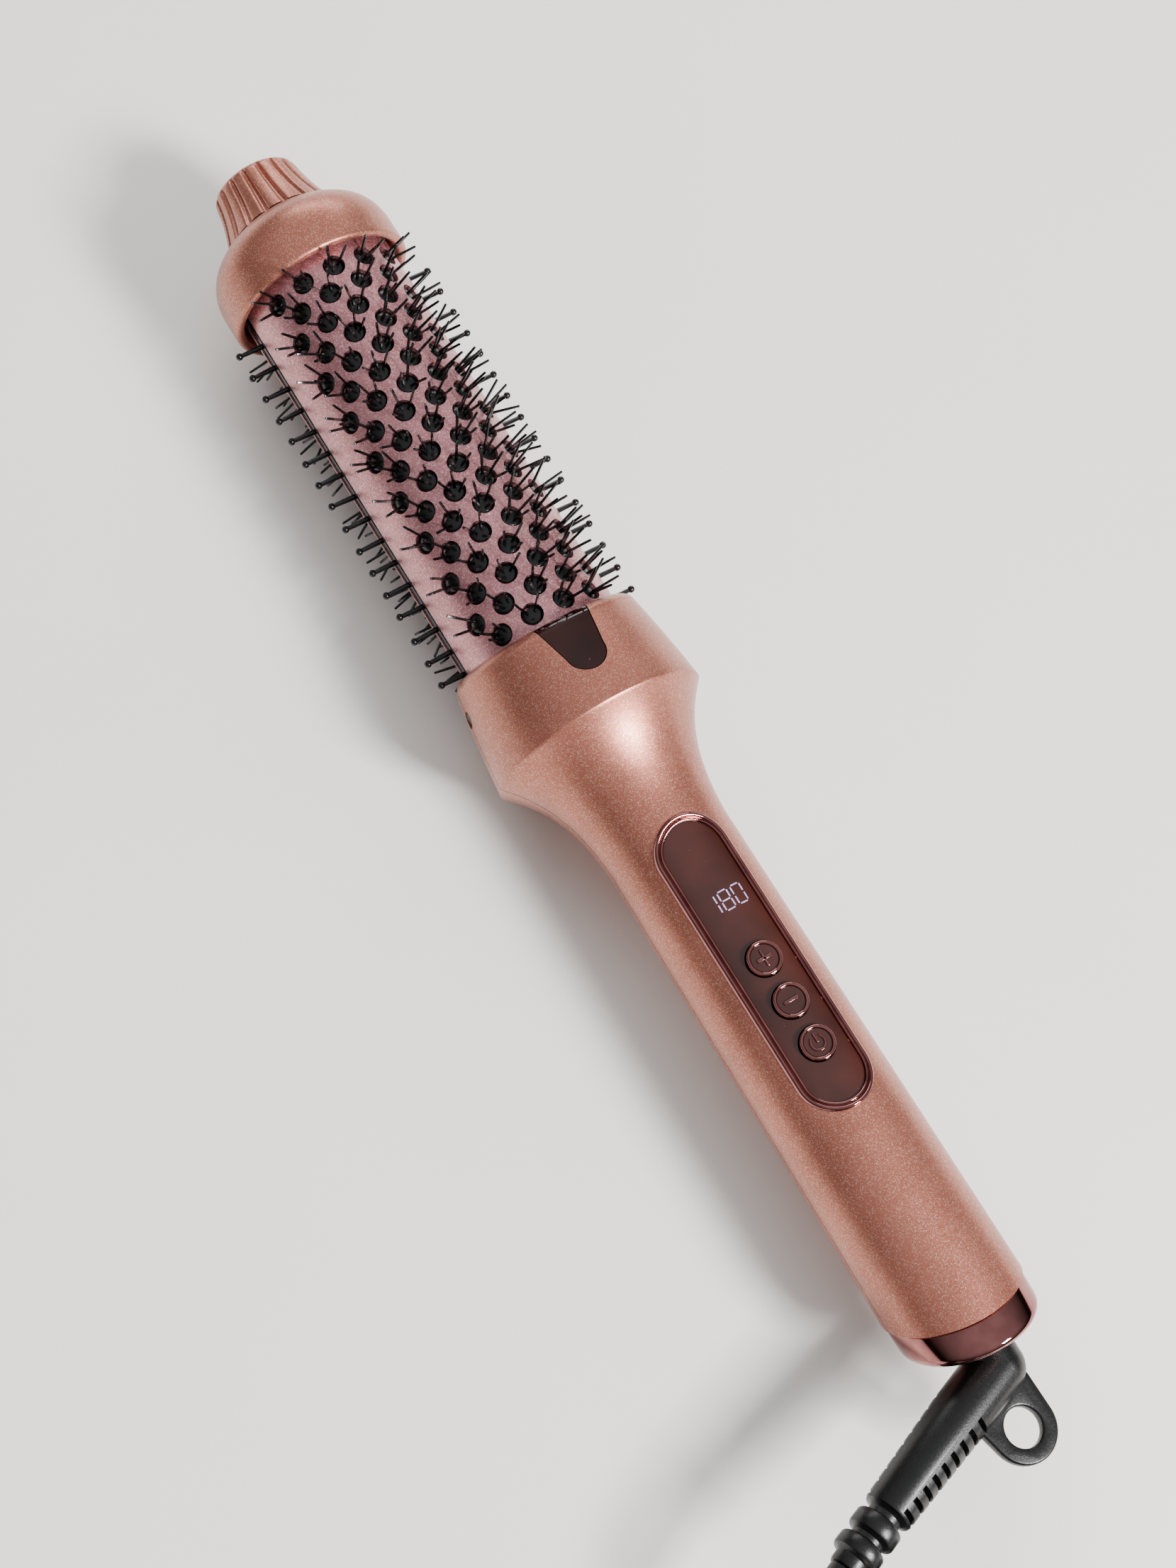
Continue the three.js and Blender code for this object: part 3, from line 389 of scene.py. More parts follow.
table = {"colour": "#f3f1ec", "shade": "#e9e6e0", "roughness": 0.55, "reach": 12.0}
paper, tree, bsdf, coords = newMaterial("paleTableTop", Roughness=table["roughness"])
mottle = addNode(tree, "ShaderNodeTexNoise", None, {"Vector": coords, "Scale": 9.0, "Detail": 5.0})
tree.links.new(blendColours(tree, mottle.outputs["Fac"], hexColour(table["colour"]), hexColour(table["shade"])),
               bsdf.inputs["Base Color"])
bm = bmesh.new()
bmesh.ops.create_grid(bm, x_segments=1, y_segments=1, size=table["reach"])
floor = bpy.data.objects.new("tableTop", newMesh("tableTop", bm, Matrix.Identity(4)))
bpy.context.scene.collection.objects.link(floor)
floor.data.materials.append(paper)

# Each lamp: where it stands, its width and height, and its power in watts.
lamps = {
    "keyLamp": ((0.95, 0.42, 0.95), 0.34, 0.34, 44),
    "fillLamp": ((-0.75, 0.15, 0.9), 1.1, 0.9, 8),
    "tipLamp": ((-0.95, 0.5, 0.45), 0.9, 0.35, 5),
}
target = Vector((0.09, -0.02, 0.02))
for name, (place, width, height, power) in lamps.items():
    light = bpy.data.lights.new(name, "AREA")
    light.shape = "RECTANGLE"
    light.size, light.size_y, light.energy = width, height, power
    lamp = bpy.data.objects.new(name, light)
    bpy.context.scene.collection.objects.link(lamp)
    aim = (target - Vector(place)).to_track_quat("-Z", "Y").to_matrix().to_4x4()
    lamp.matrix_world = Matrix.Translation(place) @ aim
    lamp.visible_glossy = name != "fillLamp"  # a broad lamp would lie as a grey sheet in the window
world = bpy.data.worlds.new("studioAir")
world.use_nodes = True
tree = world.node_tree
sky = addNode(tree, "ShaderNodeTexCoord")
around = addNode(tree, "ShaderNodeSeparateXYZ", None, {"Vector": sky.outputs["Generated"]})
bright = stretch(tree, around.outputs["Z"], 0.15, 0.95)
tree.links.new(blendColours(tree, bright, hexColour("#332c2a"), hexColour("#f2f3f6")),
               tree.nodes["Background"].inputs["Color"])
tree.nodes["Background"].inputs["Strength"].default_value = 0.75
bpy.context.scene.world = world
print("camera, table and lamps ready")

# ---- cord, plug and tie, in millimetres from the frame's origin

cord = {"radius": 3.15, "spacing": 2.4, "turns": 9, "pitch": 6.4, "centre": (243, -43), "middle": 37.5,
        "low": 4.6, "start": 270, "topStep": (-160, -118), "rise": (-115, -65), "shift": (-62, -7)}
routeDown = [(175.9, -51.3, 33.0), (178.2, -57.9, 33.4), (180.8, -64.2, 32.4), (183.8, -69.8, 30.3),
             (187.3, -74.7, 26.9), (191.2, -78.6, 22.8), (195.5, -81.6, 18.5), (200.3, -83.8, 14.2),
             (205.8, -85.4, 10.3), (211.7, -86.3, 7.0), (218.0, -86.8, 5.0), (225.0, -86.9, 4.6),
             (234.0, -86.9, 4.6)]
plugAxis = 27.75
routeTail = [(246.0, -74.1, plugAxis), (252.0, -74.1, plugAxis)]


# How far a strand has stepped across and climbed, where the turns change places before a turn's end.
def stepShares(ahead, zone):
    share = min(1, max(0, (ahead - zone[0]) / (zone[1] - zone[0])))
    eased = (share - math.sin(2 * math.pi * share) / (2 * math.pi)) * math.pi / 2
    return 1 - math.cos(eased), math.sin(eased)


# Turns 1 to 3 lie inwards on the table, 4 to 6 outwards on top of them and 7 to 9 inwards again,
# and the last one climbs on top to the plug.
def coilPoint(sweep):
    turn = min(int(sweep // 360), 8)
    ahead = sweep - (turn + 1) * 360
    shiftAcross, shiftClimb = stepShares(ahead, cord["shift"])
    riseAcross, riseClimb = stepShares(ahead, cord["rise"])
    topAcross, topClimb = stepShares(ahead, cord["topStep"])
    ring = (1, 0, -1, -1, 0, 1, 1, 0, -1)[turn]
    layer = turn // 3
    if turn in (0, 1):
        ring -= shiftAcross
    elif turn == 2:
        layer += shiftClimb
    elif turn in (3, 4):
        ring += riseAcross
    elif turn == 5:
        layer += riseClimb
    elif turn in (6, 7):
        ring -= topAcross
    height = cord["low"] + layer * cord["pitch"]
    if turn == 8:
        height += topClimb * cord["pitch"]
        height = lerp(height, plugAxis, min(1, max(0, (ahead + 118) / 112)))
    radius = cord["middle"] + ring * cord["pitch"]
    angle = math.radians(cord["start"] + sweep)
    return (cord["centre"][0] + radius * math.cos(angle), cord["centre"][1] + radius * math.sin(angle), height)


def smoothRoute(points, spacing):
    knots = [Vector(p) for p in points]
    dense = []
    for i in range(len(knots) - 1):
        p0, p1, p2, p3 = knots[max(i - 1, 0)], knots[i], knots[i + 1], knots[min(i + 2, len(knots) - 1)]
        count = max(4, int((p2 - p1).length * 4))
        for k in range(count):
            t = k / count
            dense.append(0.5 * ((2 * p1) + (p2 - p0) * t + (2 * p0 - 5 * p1 + 4 * p2 - p3) * t * t
                                + (3 * p1 - p0 - 3 * p2 + p3) * t ** 3))
    dense.append(knots[-1])
    lengths = [0]
    for a, b in zip(dense, dense[1:]):
        lengths.append(lengths[-1] + (b - a).length)
    count = round(lengths[-1] / spacing)
    out, at = [], 0
    for k in range(count + 1):
        goal = lengths[-1] * k / count
        while at < len(lengths) - 2 and lengths[at + 1] < goal:
            at += 1
        span = lengths[at + 1] - lengths[at]
        out.append(dense[at].lerp(dense[at + 1], (goal - lengths[at]) / span if span else 0))
    return out, lengths[-1]


coilPoints = [coilPoint(sweep) for sweep in range(0, cord["turns"] * 360 + 1, 6)]
centreline, cordLength = smoothRoute(routeDown + coilPoints + routeTail, cord["spacing"])
curve = bpy.data.curves.new("powerCord", "CURVE")
curve.dimensions = "3D"
curve.bevel_depth = cord["radius"] * mm
curve.bevel_resolution = 4
curve.use_fill_caps = True
spline = curve.splines.new("POLY")
spline.points.add(len(centreline) - 1)
for point, place in zip(spline.points, centreline):
    point.co = (*(place * mm), 1)
spline.use_smooth = True
powerCord = bpy.data.objects.new("powerCord", curve)
bpy.context.scene.collection.objects.link(powerCord)
curve.materials.append(cableSheath)
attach(powerCord, "cord_swivel")
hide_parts("power_cord", "power_cord_coil", "power_cord_tail")
print("cord", round(cordLength), "mm")

# The tie is a soft strap round the three layers of turns.
tie = {"angle": 60, "thickness": 1.2, "width": 9, "corner": 3.3, "slack": 0.15}
inner = cord["middle"] - 1.5 * cord["pitch"] - tie["slack"] - 0.5
outer = cord["middle"] + 1.5 * cord["pitch"] + tie["slack"]
lowest = cord["low"] - cord["radius"] - tie["slack"]
highest = cord["low"] + 2 * cord["pitch"] + cord["radius"] + tie["slack"]


def strapOutline(grow):
    radius = tie["corner"] + grow
    corners = [(outer, highest, 0), (inner, highest, 90), (inner, lowest, 180), (outer, lowest, 270)]
    out = []
    for x, z, start in corners:
        cx = x - tie["corner"] if x == outer else x + tie["corner"]
        cz = z - tie["corner"] if z == highest else z + tie["corner"]
        out += arcPoints(cx, cz, radius, start, start + 90, 8)
    return out


bm = bmesh.new()
loops = []
half = tie["width"] / 2
for y, grow in ((-half, 0), (-half, tie["thickness"]), (half, tie["thickness"]), (half, 0)):
    loops.append([bm.verts.new((x, y, z)) for x, z in strapOutline(grow)])
for a, b in zip(loops, loops[1:] + loops[:1]):
    for i in range(len(a)):
        k = (i + 1) % len(a)
        bm.faces.new((a[i], a[k], b[k], b[i]))
faceOut(bm)
softenEdges(bm, 0.3, 50)
bmesh.ops.rotate(bm, verts=bm.verts, matrix=Matrix.Rotation(math.radians(tie["angle"]), 3, "Z"))
bmesh.ops.translate(bm, verts=bm.verts, vec=(*cord["centre"], 0))
cordTie = newPiece("cordTie", bm, "cord_swivel", bootRubber, ["coil_tie"], toRow)

# The plug's moulding in its own frame: [along, half width, half height, how square] sections.
plug = {"start": (245, -74.1), "underside": 20.9, "middle": 6.85, "pinRadius": 2.0, "pinSpacing": 19,
        "front": 49, "pinEnd": 68, "seat": 9,
        "sections": [(0, 4.1, 4.1, 2), (0.5, 4.5, 4.5, 2), (13.4, 5.6, 5.6, 2.1), (15, 6.1, 6.2, 2.4),
                     (20, 6.9, 6.6, 2.8), (25, 8.6, 6.75, 3.2), (29, 11.0, 6.8, 3.6), (32, 12.5, 6.82, 4),
                     (36, 13.0, 6.85, 4.4), (47.8, 13.0, 6.85, 4.4), (48.7, 12.7, 6.55, 4.4), (49, 12.1, 6.0, 4.4)]}
plugFrame = toRow @ Matrix.Translation((*plug["start"], plug["underside"] + plug["middle"]))


def plugRing(bm, along, halfWidth, halfHeight, square, count=56):
    ring = []
    for i in range(count):
        a = 2 * math.pi * i / count
        c, s = math.cos(a), math.sin(a)
        ring.append(bm.verts.new((along, halfWidth * math.copysign(abs(c) ** (2 / square), c),
                                  halfHeight * math.copysign(abs(s) ** (2 / square), s))))
    return ring


def loft(bm, rings):
    for a, b in zip(rings, rings[1:]):
        for i in range(len(a)):
            k = (i + 1) % len(a)
            bm.faces.new((a[i], a[k], b[k], b[i]))
    bm.faces.new(rings[0])
    bm.faces.new(rings[-1])
    faceOut(bm)


bm = bmesh.new()
loft(bm, [plugRing(bm, *section) for section in plug["sections"]])
pinSides = [side * plug["pinSpacing"] / 2 for side in (-1, 1)]
cuts = [rod((plug["front"] - plug["seat"], y, 0), (plug["front"] + 3, y, 0), plug["pinRadius"] + 0.1, 32)
        for y in pinSides]
cuts += [joined([block((along, -9, side * 4.3 - 1.6), (along + 0.9, 9, side * 4.3 + 1.6)) for side in (-1, 1)])
         for along in (2.4, 4.8, 7.2, 9.6)]
bm = combined(bm, *[("DIFFERENCE", cut) for cut in cuts])
softenEdges(bm, 0.12, 45, 1)
plugMoulding = newPiece("plugMoulding", bm, "cord_swivel", bootRubber, ["plug_body"], plugFrame, 40)


def plugPin(y):
    tip = plug["pinEnd"] - 1.2
    pin = spun([(plug["front"] - plug["seat"] + 0.3, 0), (plug["front"] - plug["seat"] + 0.3, plug["pinRadius"]),
                (tip, 2), (tip + 0.6, 1.85), (tip + 1.0, 1.4), (tip + 1.2, 0.8), (tip + 1.2, 0)], 32)
    bmesh.ops.translate(pin, verts=pin.verts, vec=(0, y, 0))
    return pin


pinPlating = bareMetal("nickelPlatedBrass", "#b9b6ad", "#8f8b80", 0.22)
plugPins = [newPiece(name, plugPin(y), "cord_swivel", pinPlating, [node], plugFrame)
            for name, y, node in (("plugPinLeft", pinSides[1], "plug_pin_left"),
                                  ("plugPinRight", pinSides[0], "plug_pin_right"))]
print("plug and tie ready")

# ---- strain relief boot, in the arm's own frame: X along the arm, Y to its outer side

boot = {"radius": 6.2, "arm": 54, "loopAlong": 6.1, "loopAside": 11.5, "loopRadius": 7.7, "holeRadius": 4.3,
        "plate": 2.6, "ribs": 9, "firstRib": 13.4, "ribPitch": 3.1, "ribWidth": 1.3, "ribDepth": 1.8, "ribTurn": 32,
        "back": (-3.6, 5.4), "front": (13.5, 4.6)}
elbow = Vector((159.533, 0, 25.8))
armWay = Vector((0.30071, -0.94444, 0.13273)).normalized()
plateUp = Vector((0, 0.139173, 0.990268)).normalized()
armSide = plateUp.cross(armWay).normalized()
armFrame = toRow @ Matrix.Translation(elbow) @ Matrix((armWay, armSide, plateUp)).transposed().to_4x4()


def armRadius(s):
    return boot["radius"] if s < 14 else lerp(boot["radius"], 5.35, (s - 14) / 25.4)


armProfile = [(0, 0), (0, 6.2), (14, 6.2), (38.9, 5.36), (39.4, 5.1), (39.7, 4.2), (40.2, 3.7), (41.3, 3.65),
              (41.7, 4.3), (41.9, 4.95), (42.3, 5.2), (45.1, 5.2), (45.5, 4.95), (45.7, 4.3), (46.2, 3.7),
              (47.1, 3.65), (47.5, 4.3), (47.7, 4.85), (48.1, 5.1), (50.5, 5.1), (50.9, 4.85), (51.1, 4.2),
              (51.6, 3.7), (53.6, 3.62), (54, 3.4), (54, 0)]


def tangentPoint(point, centre, radius, side):
    apart = Vector(centre) - Vector(point)
    swing = Matrix.Rotation(side * math.asin(radius / apart.length), 2)
    reach = math.sqrt(apart.length ** 2 - radius ** 2)
    return tuple(Vector(point) + swing @ (apart.normalized() * reach))


def loopOutline():
    centre = (boot["loopAlong"], boot["loopAside"])
    a = tangentPoint(boot["back"], centre, boot["loopRadius"], 1)
    b = tangentPoint(boot["front"], centre, boot["loopRadius"], -1)
    start = math.degrees(math.atan2(a[1] - centre[1], a[0] - centre[0]))
    end = math.degrees(math.atan2(b[1] - centre[1], b[0] - centre[0]))
    start += 360 if start < end else 0
    return [(-2.6, 0), boot["back"]] + arcPoints(*centre, boot["loopRadius"], start, end, 32) + [
        boot["front"], (boot["front"][0], 0)]


half = boot["plate"] / 2
loopPlate = prism(loopOutline(), -half, half)
hole = rod((boot["loopAlong"], boot["loopAside"], -9), (boot["loopAlong"], boot["loopAside"], 9),
           boot["holeRadius"], 40)
loopPlate = combined(loopPlate, ("DIFFERENCE", hole))
softenEdges(loopPlate, 0.55, 60, 3)
slots = []
for i in range(boot["ribs"]):
    s = boot["firstRib"] + i * boot["ribPitch"]
    for side in (-1, 1):
        deep, wide = (armRadius(s) - boot["ribDepth"]) * side, 9 * side
        slots.append(block((s - boot["ribWidth"] / 2, min(deep, wide), -3.6),
                           (s + boot["ribWidth"] / 2, max(deep, wide), 3.6)))
slots = joined(slots)
bmesh.ops.rotate(slots, verts=slots.verts, matrix=Matrix.Rotation(math.radians(boot["ribTurn"]), 3, "X"))
arm = combined(spun(armProfile, 64), ("DIFFERENCE", slots))
softenEdges(arm, 0.16, 50, 1)
knuckle = bmesh.new()
bmesh.ops.create_uvsphere(knuckle, u_segments=64, v_segments=32, radius=boot["radius"])
# The spindle runs forward from the elbow along the brush's axis into the bush.
toArm = armFrame.inverted() @ toFrame
spindle = spun([(266.5, 0), (266.5, 5.2), (278.8, 5.2), (278.8, 7.0), (281.2, 7.0), (281.2, 5.2), (291.8, 5.2),
                (291.8, 6.2), (315.9, 6.2), (315.9, 0)], 64)
bmesh.ops.transform(spindle, matrix=toArm, verts=spindle.verts)
cordBoot = newPiece("cordBoot", combined(arm, ("UNION", knuckle), ("UNION", spindle), ("UNION", loopPlate)),
                    "cord_swivel", bootRubber, ["cord_boot"], armFrame, 40)
print("boot ready")

# ---- smooth shading of cut surfaces

# Gives each corner of a cut surface the normal of the round shape it was cut from.
def roundNormals(mesh, gapAt, place=toFrame, near=0.955):
    back = place.inverted()
    turn = place.to_3x3().normalized()
    step = 0.02
    normals = [None] * len(mesh.loops)
    for face in mesh.polygons:
        middle = back @ face.center
        for i in face.loop_indices:
            corner = back @ mesh.vertices[mesh.loops[i].vertex_index].co
            at = corner.lerp(middle, 0.02)
            slope = Vector([gapAt(at + step * axis) - gapAt(at - step * axis)
                            for axis in (Vector((1, 0, 0)), Vector((0, 1, 0)), Vector((0, 0, 1)))])
            ideal = (turn @ slope).normalized() if slope.length else face.normal
            if ideal.dot(face.normal) > near:
                normals[i] = ideal
            elif -ideal.dot(face.normal) > near:
                normals[i] = -ideal
            else:
                normals[i] = face.normal.copy()
    mesh.normals_split_custom_set(normals)


def polylineRadius(outline):
    def radiusAt(x):
        for (xa, ra), (xb, rb) in zip(outline, outline[1:]):
            if xa <= x <= xb and xb > xa:
                return lerp(ra, rb, (x - xa) / (xb - xa))
        return outline[0][1] if x < outline[0][0] else outline[-1][1]
    return radiusAt


# ---- tip knob and collar

knob = {"length": 14.5, "end": 10.4, "base": 14.2, "flutes": 18, "depth": 0.85, "round": 1.3}
# How deep a flute is across half its pitch: [share of the pitch from its middle, share of the depth].
fluteSection = [(0, 1), (0.05, 0.97), (0.1, 0.8), (0.14, 0.4), (0.17, 0.12), (0.21, 0.0), (0.3, -0.08), (0.4, -0.1)]


def knobRadius(x):
    t = x / knob["length"]
    return (1 - t) ** 2 * knob["end"] + 2 * t * (1 - t) * (knob["end"] + 0.6) + t * t * knob["base"]


def knobRing(bm, x, radius, depth):
    pitch = 2 * math.pi / knob["flutes"]
    section = fluteSection + [(0.5, -0.1)] + [(1 - u, d) for u, d in reversed(fluteSection[1:])]
    ring = []
    for i in range(knob["flutes"]):
        for u, d in section:
            a = (i + 0.5 + u) * pitch
            r = radius - depth * d
            ring.append(bm.verts.new((x, r * math.cos(a), r * math.sin(a))))
    return ring


bm = bmesh.new()
rings = []
for x, inset, depth in ((0, 1.9, 0), (0.05, 1.3, 0), (0.3, 0.62, 0.1), (0.75, 0.2, 0.4), (1.3, 0.0, 0.75)):
    rings.append(knobRing(bm, x, knobRadius(x) - inset, knob["depth"] * depth))
for k in range(1, 13):
    x = lerp(knob["round"], knob["length"], k / 12)
    rings.append(knobRing(bm, x, knobRadius(x), knob["depth"]))
rings.append(knobRing(bm, knob["length"], knobRadius(knob["length"]) - 1.2, 0))
loft(bm, rings)
newPiece("tipKnob", bm, "brush", satinPaint, ["tip_knob"], sharpAngle=50)

collar = {"front": 14.8, "back": 33.4, "radius": 22.5, "shoulder": 12, "lip": 1.1, "inside": 20.2}
front, reach = collar["front"], collar["shoulder"]
shoulder = bezierPoints((front, knob["base"]), (front + 0.24 * reach, 20.2),
                        (front + 0.52 * reach, collar["radius"]), (front + reach, collar["radius"]), 24)
lip = arcPoints(collar["back"] - collar["lip"], collar["radius"] - collar["lip"], collar["lip"], 90, -60, 10)
profile = [(front, 2), (front, 13.4)] + shoulder + lip + [(32.6, collar["inside"]), (22.8, collar["inside"]),
                                                        (19.8, 17.5), (16.8, 12.2), (16.8, 2)]
newPiece("tipCollar", spun(profile, 160, True), "brush", satinPaint, ["tip_collar"],
         sharpAngle=50)
print("tip ready")

# ---- barrel halves, bristles and pin strips

barrel = {"start": 29.0, "end": 138.2, "radius": 19.0, "slot": 4.4, "hole": 2.55, "rows": 18,
          "firstRow": 36.9, "rowPitch": 5.52, "angle": 24.5, "rim": 0.22}
sites = [(barrel["firstRow"] + row * barrel["rowPitch"], math.radians((k - (4 - row % 2) / 2) * barrel["angle"]))
         for row in range(barrel["rows"]) for k in range(5 - row % 2)]


def outwards(x, angle, r):
    return Vector((x, r * math.sin(angle), r * math.cos(angle)))


def barrelHalf():
    start, end, outer = barrel["start"], barrel["end"], barrel["radius"]
    inside = 17.8
    tube = spun([(start, inside), (start, outer), (end, outer), (end, inside)], 144, True)
    drills = joined([rod(outwards(x, a, 15), outwards(x, a, 22), barrel["hole"], 28) for x, a in sites])
    keep = block((0, -40, barrel["slot"] / 2), (200, 40, 40))
    half = combined(tube, ("INTERSECT", keep), ("DIFFERENCE", drills))

    def rimEdge(edge):
        return all(math.hypot(v.co.y, v.co.z) > 18.9 for v in edge.verts)
    softenEdges(half, barrel["rim"], 55, 2, rimEdge)
    return half


def cylinderGap(point):
    return math.hypot(point.y, point.z)


def underside(bm):
    bmesh.ops.rotate(bm, verts=bm.verts, matrix=Matrix.Rotation(math.pi, 3, "X"))
    return bm


for name, node, flip in (("barrelUpper", "barrel_upper_shell", False), ("barrelLower", "barrel_lower_shell", True)):
    half = barrelHalf()
    shell = newPiece(name, underside(half) if flip else half, "brush", barrelPaint, [node])
    roundNormals(shell.data, cylinderGap)

tuft = {"pad": 2.45, "padRise": 0.8, "root": 17.7, "strands": (3, 4), "thick": 0.33, "reach": 25.6,
        "spread": (5, 25), "bend": 0.35, "foot": 0.95, "length": 7.4, "from": 34.2, "to": 134.0}
dice = random.Random(11)


# One thin strand with a slight bend and a rounded tip.
def strand(bm, root, way, length, bow):
    side = way.orthogonal().normalized()
    across = way.cross(side)
    rings = []
    for share, thick in ((0, 1.2), (0.35, 1.05), (0.7, 1.0), (0.985, 0.92), (1.0, 0.6)):
        middle = root + way * (length * share) + bow * (share * share)
        rings.append([bm.verts.new(middle + tuft["thick"] * thick * (math.cos(a) * side + math.sin(a) * across))
                      for a in (0, 1.2566, 2.5133, 3.7699, 5.0265)])
    for a, b in zip(rings, rings[1:]):
        for i in range(5):
            bm.faces.new((a[i], a[(i + 1) % 5], b[(i + 1) % 5], b[i]))
    bm.faces.new(rings[-1])
    bm.faces.new(list(reversed(rings[0])))


def bristleBed():
    bm = bmesh.new()
    for x, a in sites:
        up = outwards(0, a, 1)
        turn = up.to_track_quat("Z", "Y").to_matrix().to_4x4()
        place = Matrix.Translation(outwards(x, a, tuft["root"])) @ turn
        rings = []
        for radius, rise in ((1, -0.45), (1, 0.0), (0.93, 0.45), (0.68, 0.85), (0.34, 1.0)):
            rings.append([bm.verts.new(place @ Vector((tuft["pad"] * radius * math.cos(b),
                                                       tuft["pad"] * radius * math.sin(b),
                                                       tuft["padRise"] * rise)))
                          for b in [2 * math.pi * i / 18 for i in range(18)]])
        for low, high in zip(rings, rings[1:]):
            for i in range(18):
                bm.faces.new((low[i], low[(i + 1) % 18], high[(i + 1) % 18], high[i]))
        bm.faces.new(rings[-1])
        bm.faces.new(list(reversed(rings[0])))
        count = dice.randint(*tuft["strands"])
        first = dice.uniform(0, 2 * math.pi)
        for i in range(count):
            heading = first + 2 * math.pi * i / count + dice.uniform(-0.35, 0.35)
            lean = math.radians(dice.uniform(*tuft["spread"]))
            flat = turn @ Vector((math.cos(heading), math.sin(heading), 0))
            root = outwards(x, a, tuft["root"] + 0.55) + flat * tuft["foot"]
            way = (up * math.cos(lean) + flat * math.sin(lean)).normalized()
            bow = flat * dice.uniform(-tuft["bend"], tuft["bend"])
            length = tuft["length"] / math.cos(lean)
            while True:
                tip = root + way * length + bow
                if math.hypot(tip.y, tip.z) <= tuft["reach"] and tuft["from"] < tip.x < tuft["to"]:
                    break
                length -= 0.2
            strand(bm, root, way, length, bow)
    return bm


# A bed of curved plate under the holes, so that nothing shows between pad and rim.
def bedPlate():
    plate = spun([(30, 16.2), (30, 17.45), (137.2, 17.45), (137.2, 16.2)], 96, True)
    return combined(plate, ("INTERSECT", block((0, -40, barrel["slot"] / 2), (200, 40, 40))))


for name, node, flip in (("bristlesUpper", "upper_bristle_carrier", False),
                         ("bristlesLower", "lower_bristle_carrier", True)):
    bed = joined([bedPlate(), bristleBed()])
    newPiece(name, underside(bed) if flip else bed, "brush", nylon, [node], sharpAngle=50)
print("barrel and bristles ready")

pins = {"count": 16, "first": 38.5, "pitch": 6.12, "reach": 24.8, "ball": 0.86, "stem": 0.5}


# The strip's face has a pair of fine grooves along it, and the pins stand between them.
def pinStrip():
    outline = [(-1.6, 16.0), (1.6, 16.0), (1.6, 18.3), (1.45, 18.45), (1.25, 18.45), (1.2, 18.1), (0.95, 18.1),
               (0.9, 18.6), (0.7, 18.75), (-0.7, 18.75), (-0.9, 18.6), (-0.95, 18.1), (-1.2, 18.1),
               (-1.25, 18.45), (-1.45, 18.45), (-1.6, 18.3)]
    bm = bmesh.new()
    rings = [[bm.verts.new((x, y, z)) for z, y in outline] for x in (30, 137.2)]
    loft(bm, rings)
    parts = [bm]
    for i in range(pins["count"]):
        x = pins["first"] + i * pins["pitch"]
        lean = dice.uniform(-0.25, 0.25)
        parts.append(rod((x, 18.4, 0), (x + lean, pins["reach"], lean * 0.5), 0.66, 10, pins["stem"]))
        ball = bmesh.new()
        bmesh.ops.create_uvsphere(ball, u_segments=12, v_segments=8, radius=pins["ball"],
                                  matrix=Matrix.Translation((x + lean, pins["reach"], lean * 0.5)))
        parts.append(ball)
    return joined(parts)


for name, node, flip in (("pinStripRight", "right_pin_strip", False), ("pinStripLeft", "left_pin_strip", True)):
    strip = pinStrip()
    newPiece(name, underside(strip) if flip else strip, "brush", nylon, [node])
print("pin strips ready")

# ---- handle

grip = {"mouth": 131.2, "mouthRadius": 22.8, "round": 3.3, "crease": 157.3, "creaseRadius": 25.7, "neck": 186.7,
        "cone": 26.1, "neckLength": 29.4, "past": 312.5, "port": 140.2, "portRadius": 2.0,
        "neckRadius": 14.6, "end": 298.5, "endRadius": 15.7, "wall": 2.2, "sweep": 3.3, "gap": 0.12,
        "slope": math.tan(math.radians(24.5))}


def gripRadius(x):
    return lerp(grip["neckRadius"], grip["endRadius"], (x - grip["neck"]) / (grip["end"] - grip["neck"]))


def handleOutline(offset):
    m, c, n = grip["mouth"], grip["crease"], grip["neck"]
    lip, mouth, crease = grip["round"], grip["mouthRadius"], grip["creaseRadius"]
    lipArc = arcPoints(m + lip, mouth - lip, lip + offset, 180, 90, 12)
    cone = []
    for i in range(1, 13):
        t = i / 12
        cone.append((1 - t) ** 2 * Vector((m + lip, mouth + offset))
                    + 2 * t * (1 - t) * Vector((m + 0.55 * grip["cone"], crease - 1.1 + offset))
                    + t * t * Vector((c, crease + offset)))
    reach = grip["neckLength"]
    neck = bezierPoints((c + 0.5, 25.3 + offset), (c + 0.21 * reach, 20 + offset),
                        (c + 0.465 * reach, 15.2 + offset), (n, grip["neckRadius"] + offset), 40)
    return lipArc + [tuple(p) for p in cone] + neck + [(grip["past"], gripRadius(grip["past"]) + offset)]


def sweepOf(x, y, z):
    share = min(1, max(0, (grip["crease"] - x) / grip["cone"]))
    return grip["sweep"] * share * abs(z) / max(math.hypot(y, z), barrel["radius"])


def sweepBack(bm):
    for v in bm.verts:
        v.co.x += sweepOf(*v.co)
    return bm


outsideRadius = polylineRadius(handleOutline(0)[12:])


def handleGap(point):
    x = point.x
    for _ in range(4):
        x = point.x - sweepOf(x, point.y, point.z)
    return math.hypot(point.y, point.z) - outsideRadius(x)


# Everything in front of a plane that leans like the handle's end.
def beforeEnd(station, low=-200.0):
    bm = block((low, -60, -60), (station, 60, 60))
    for v in bm.verts:
        if v.co.x == station:
            v.co.x += grip["slope"] * v.co.z
    return bm


opening = {"start": 127, "length": 18.4, "half": 7.6, "end": 4.6, "flare": 0.6}


def windowOutline(grow):
    radius, centre = opening["end"] + grow, grip["mouth"] + opening["length"] - opening["end"]
    wide = opening["half"] + opening["flare"] + grow
    return [(opening["start"], -wide)] + arcPoints(centre, 0, radius, -90, 90, 24) + [(opening["start"], wide)]


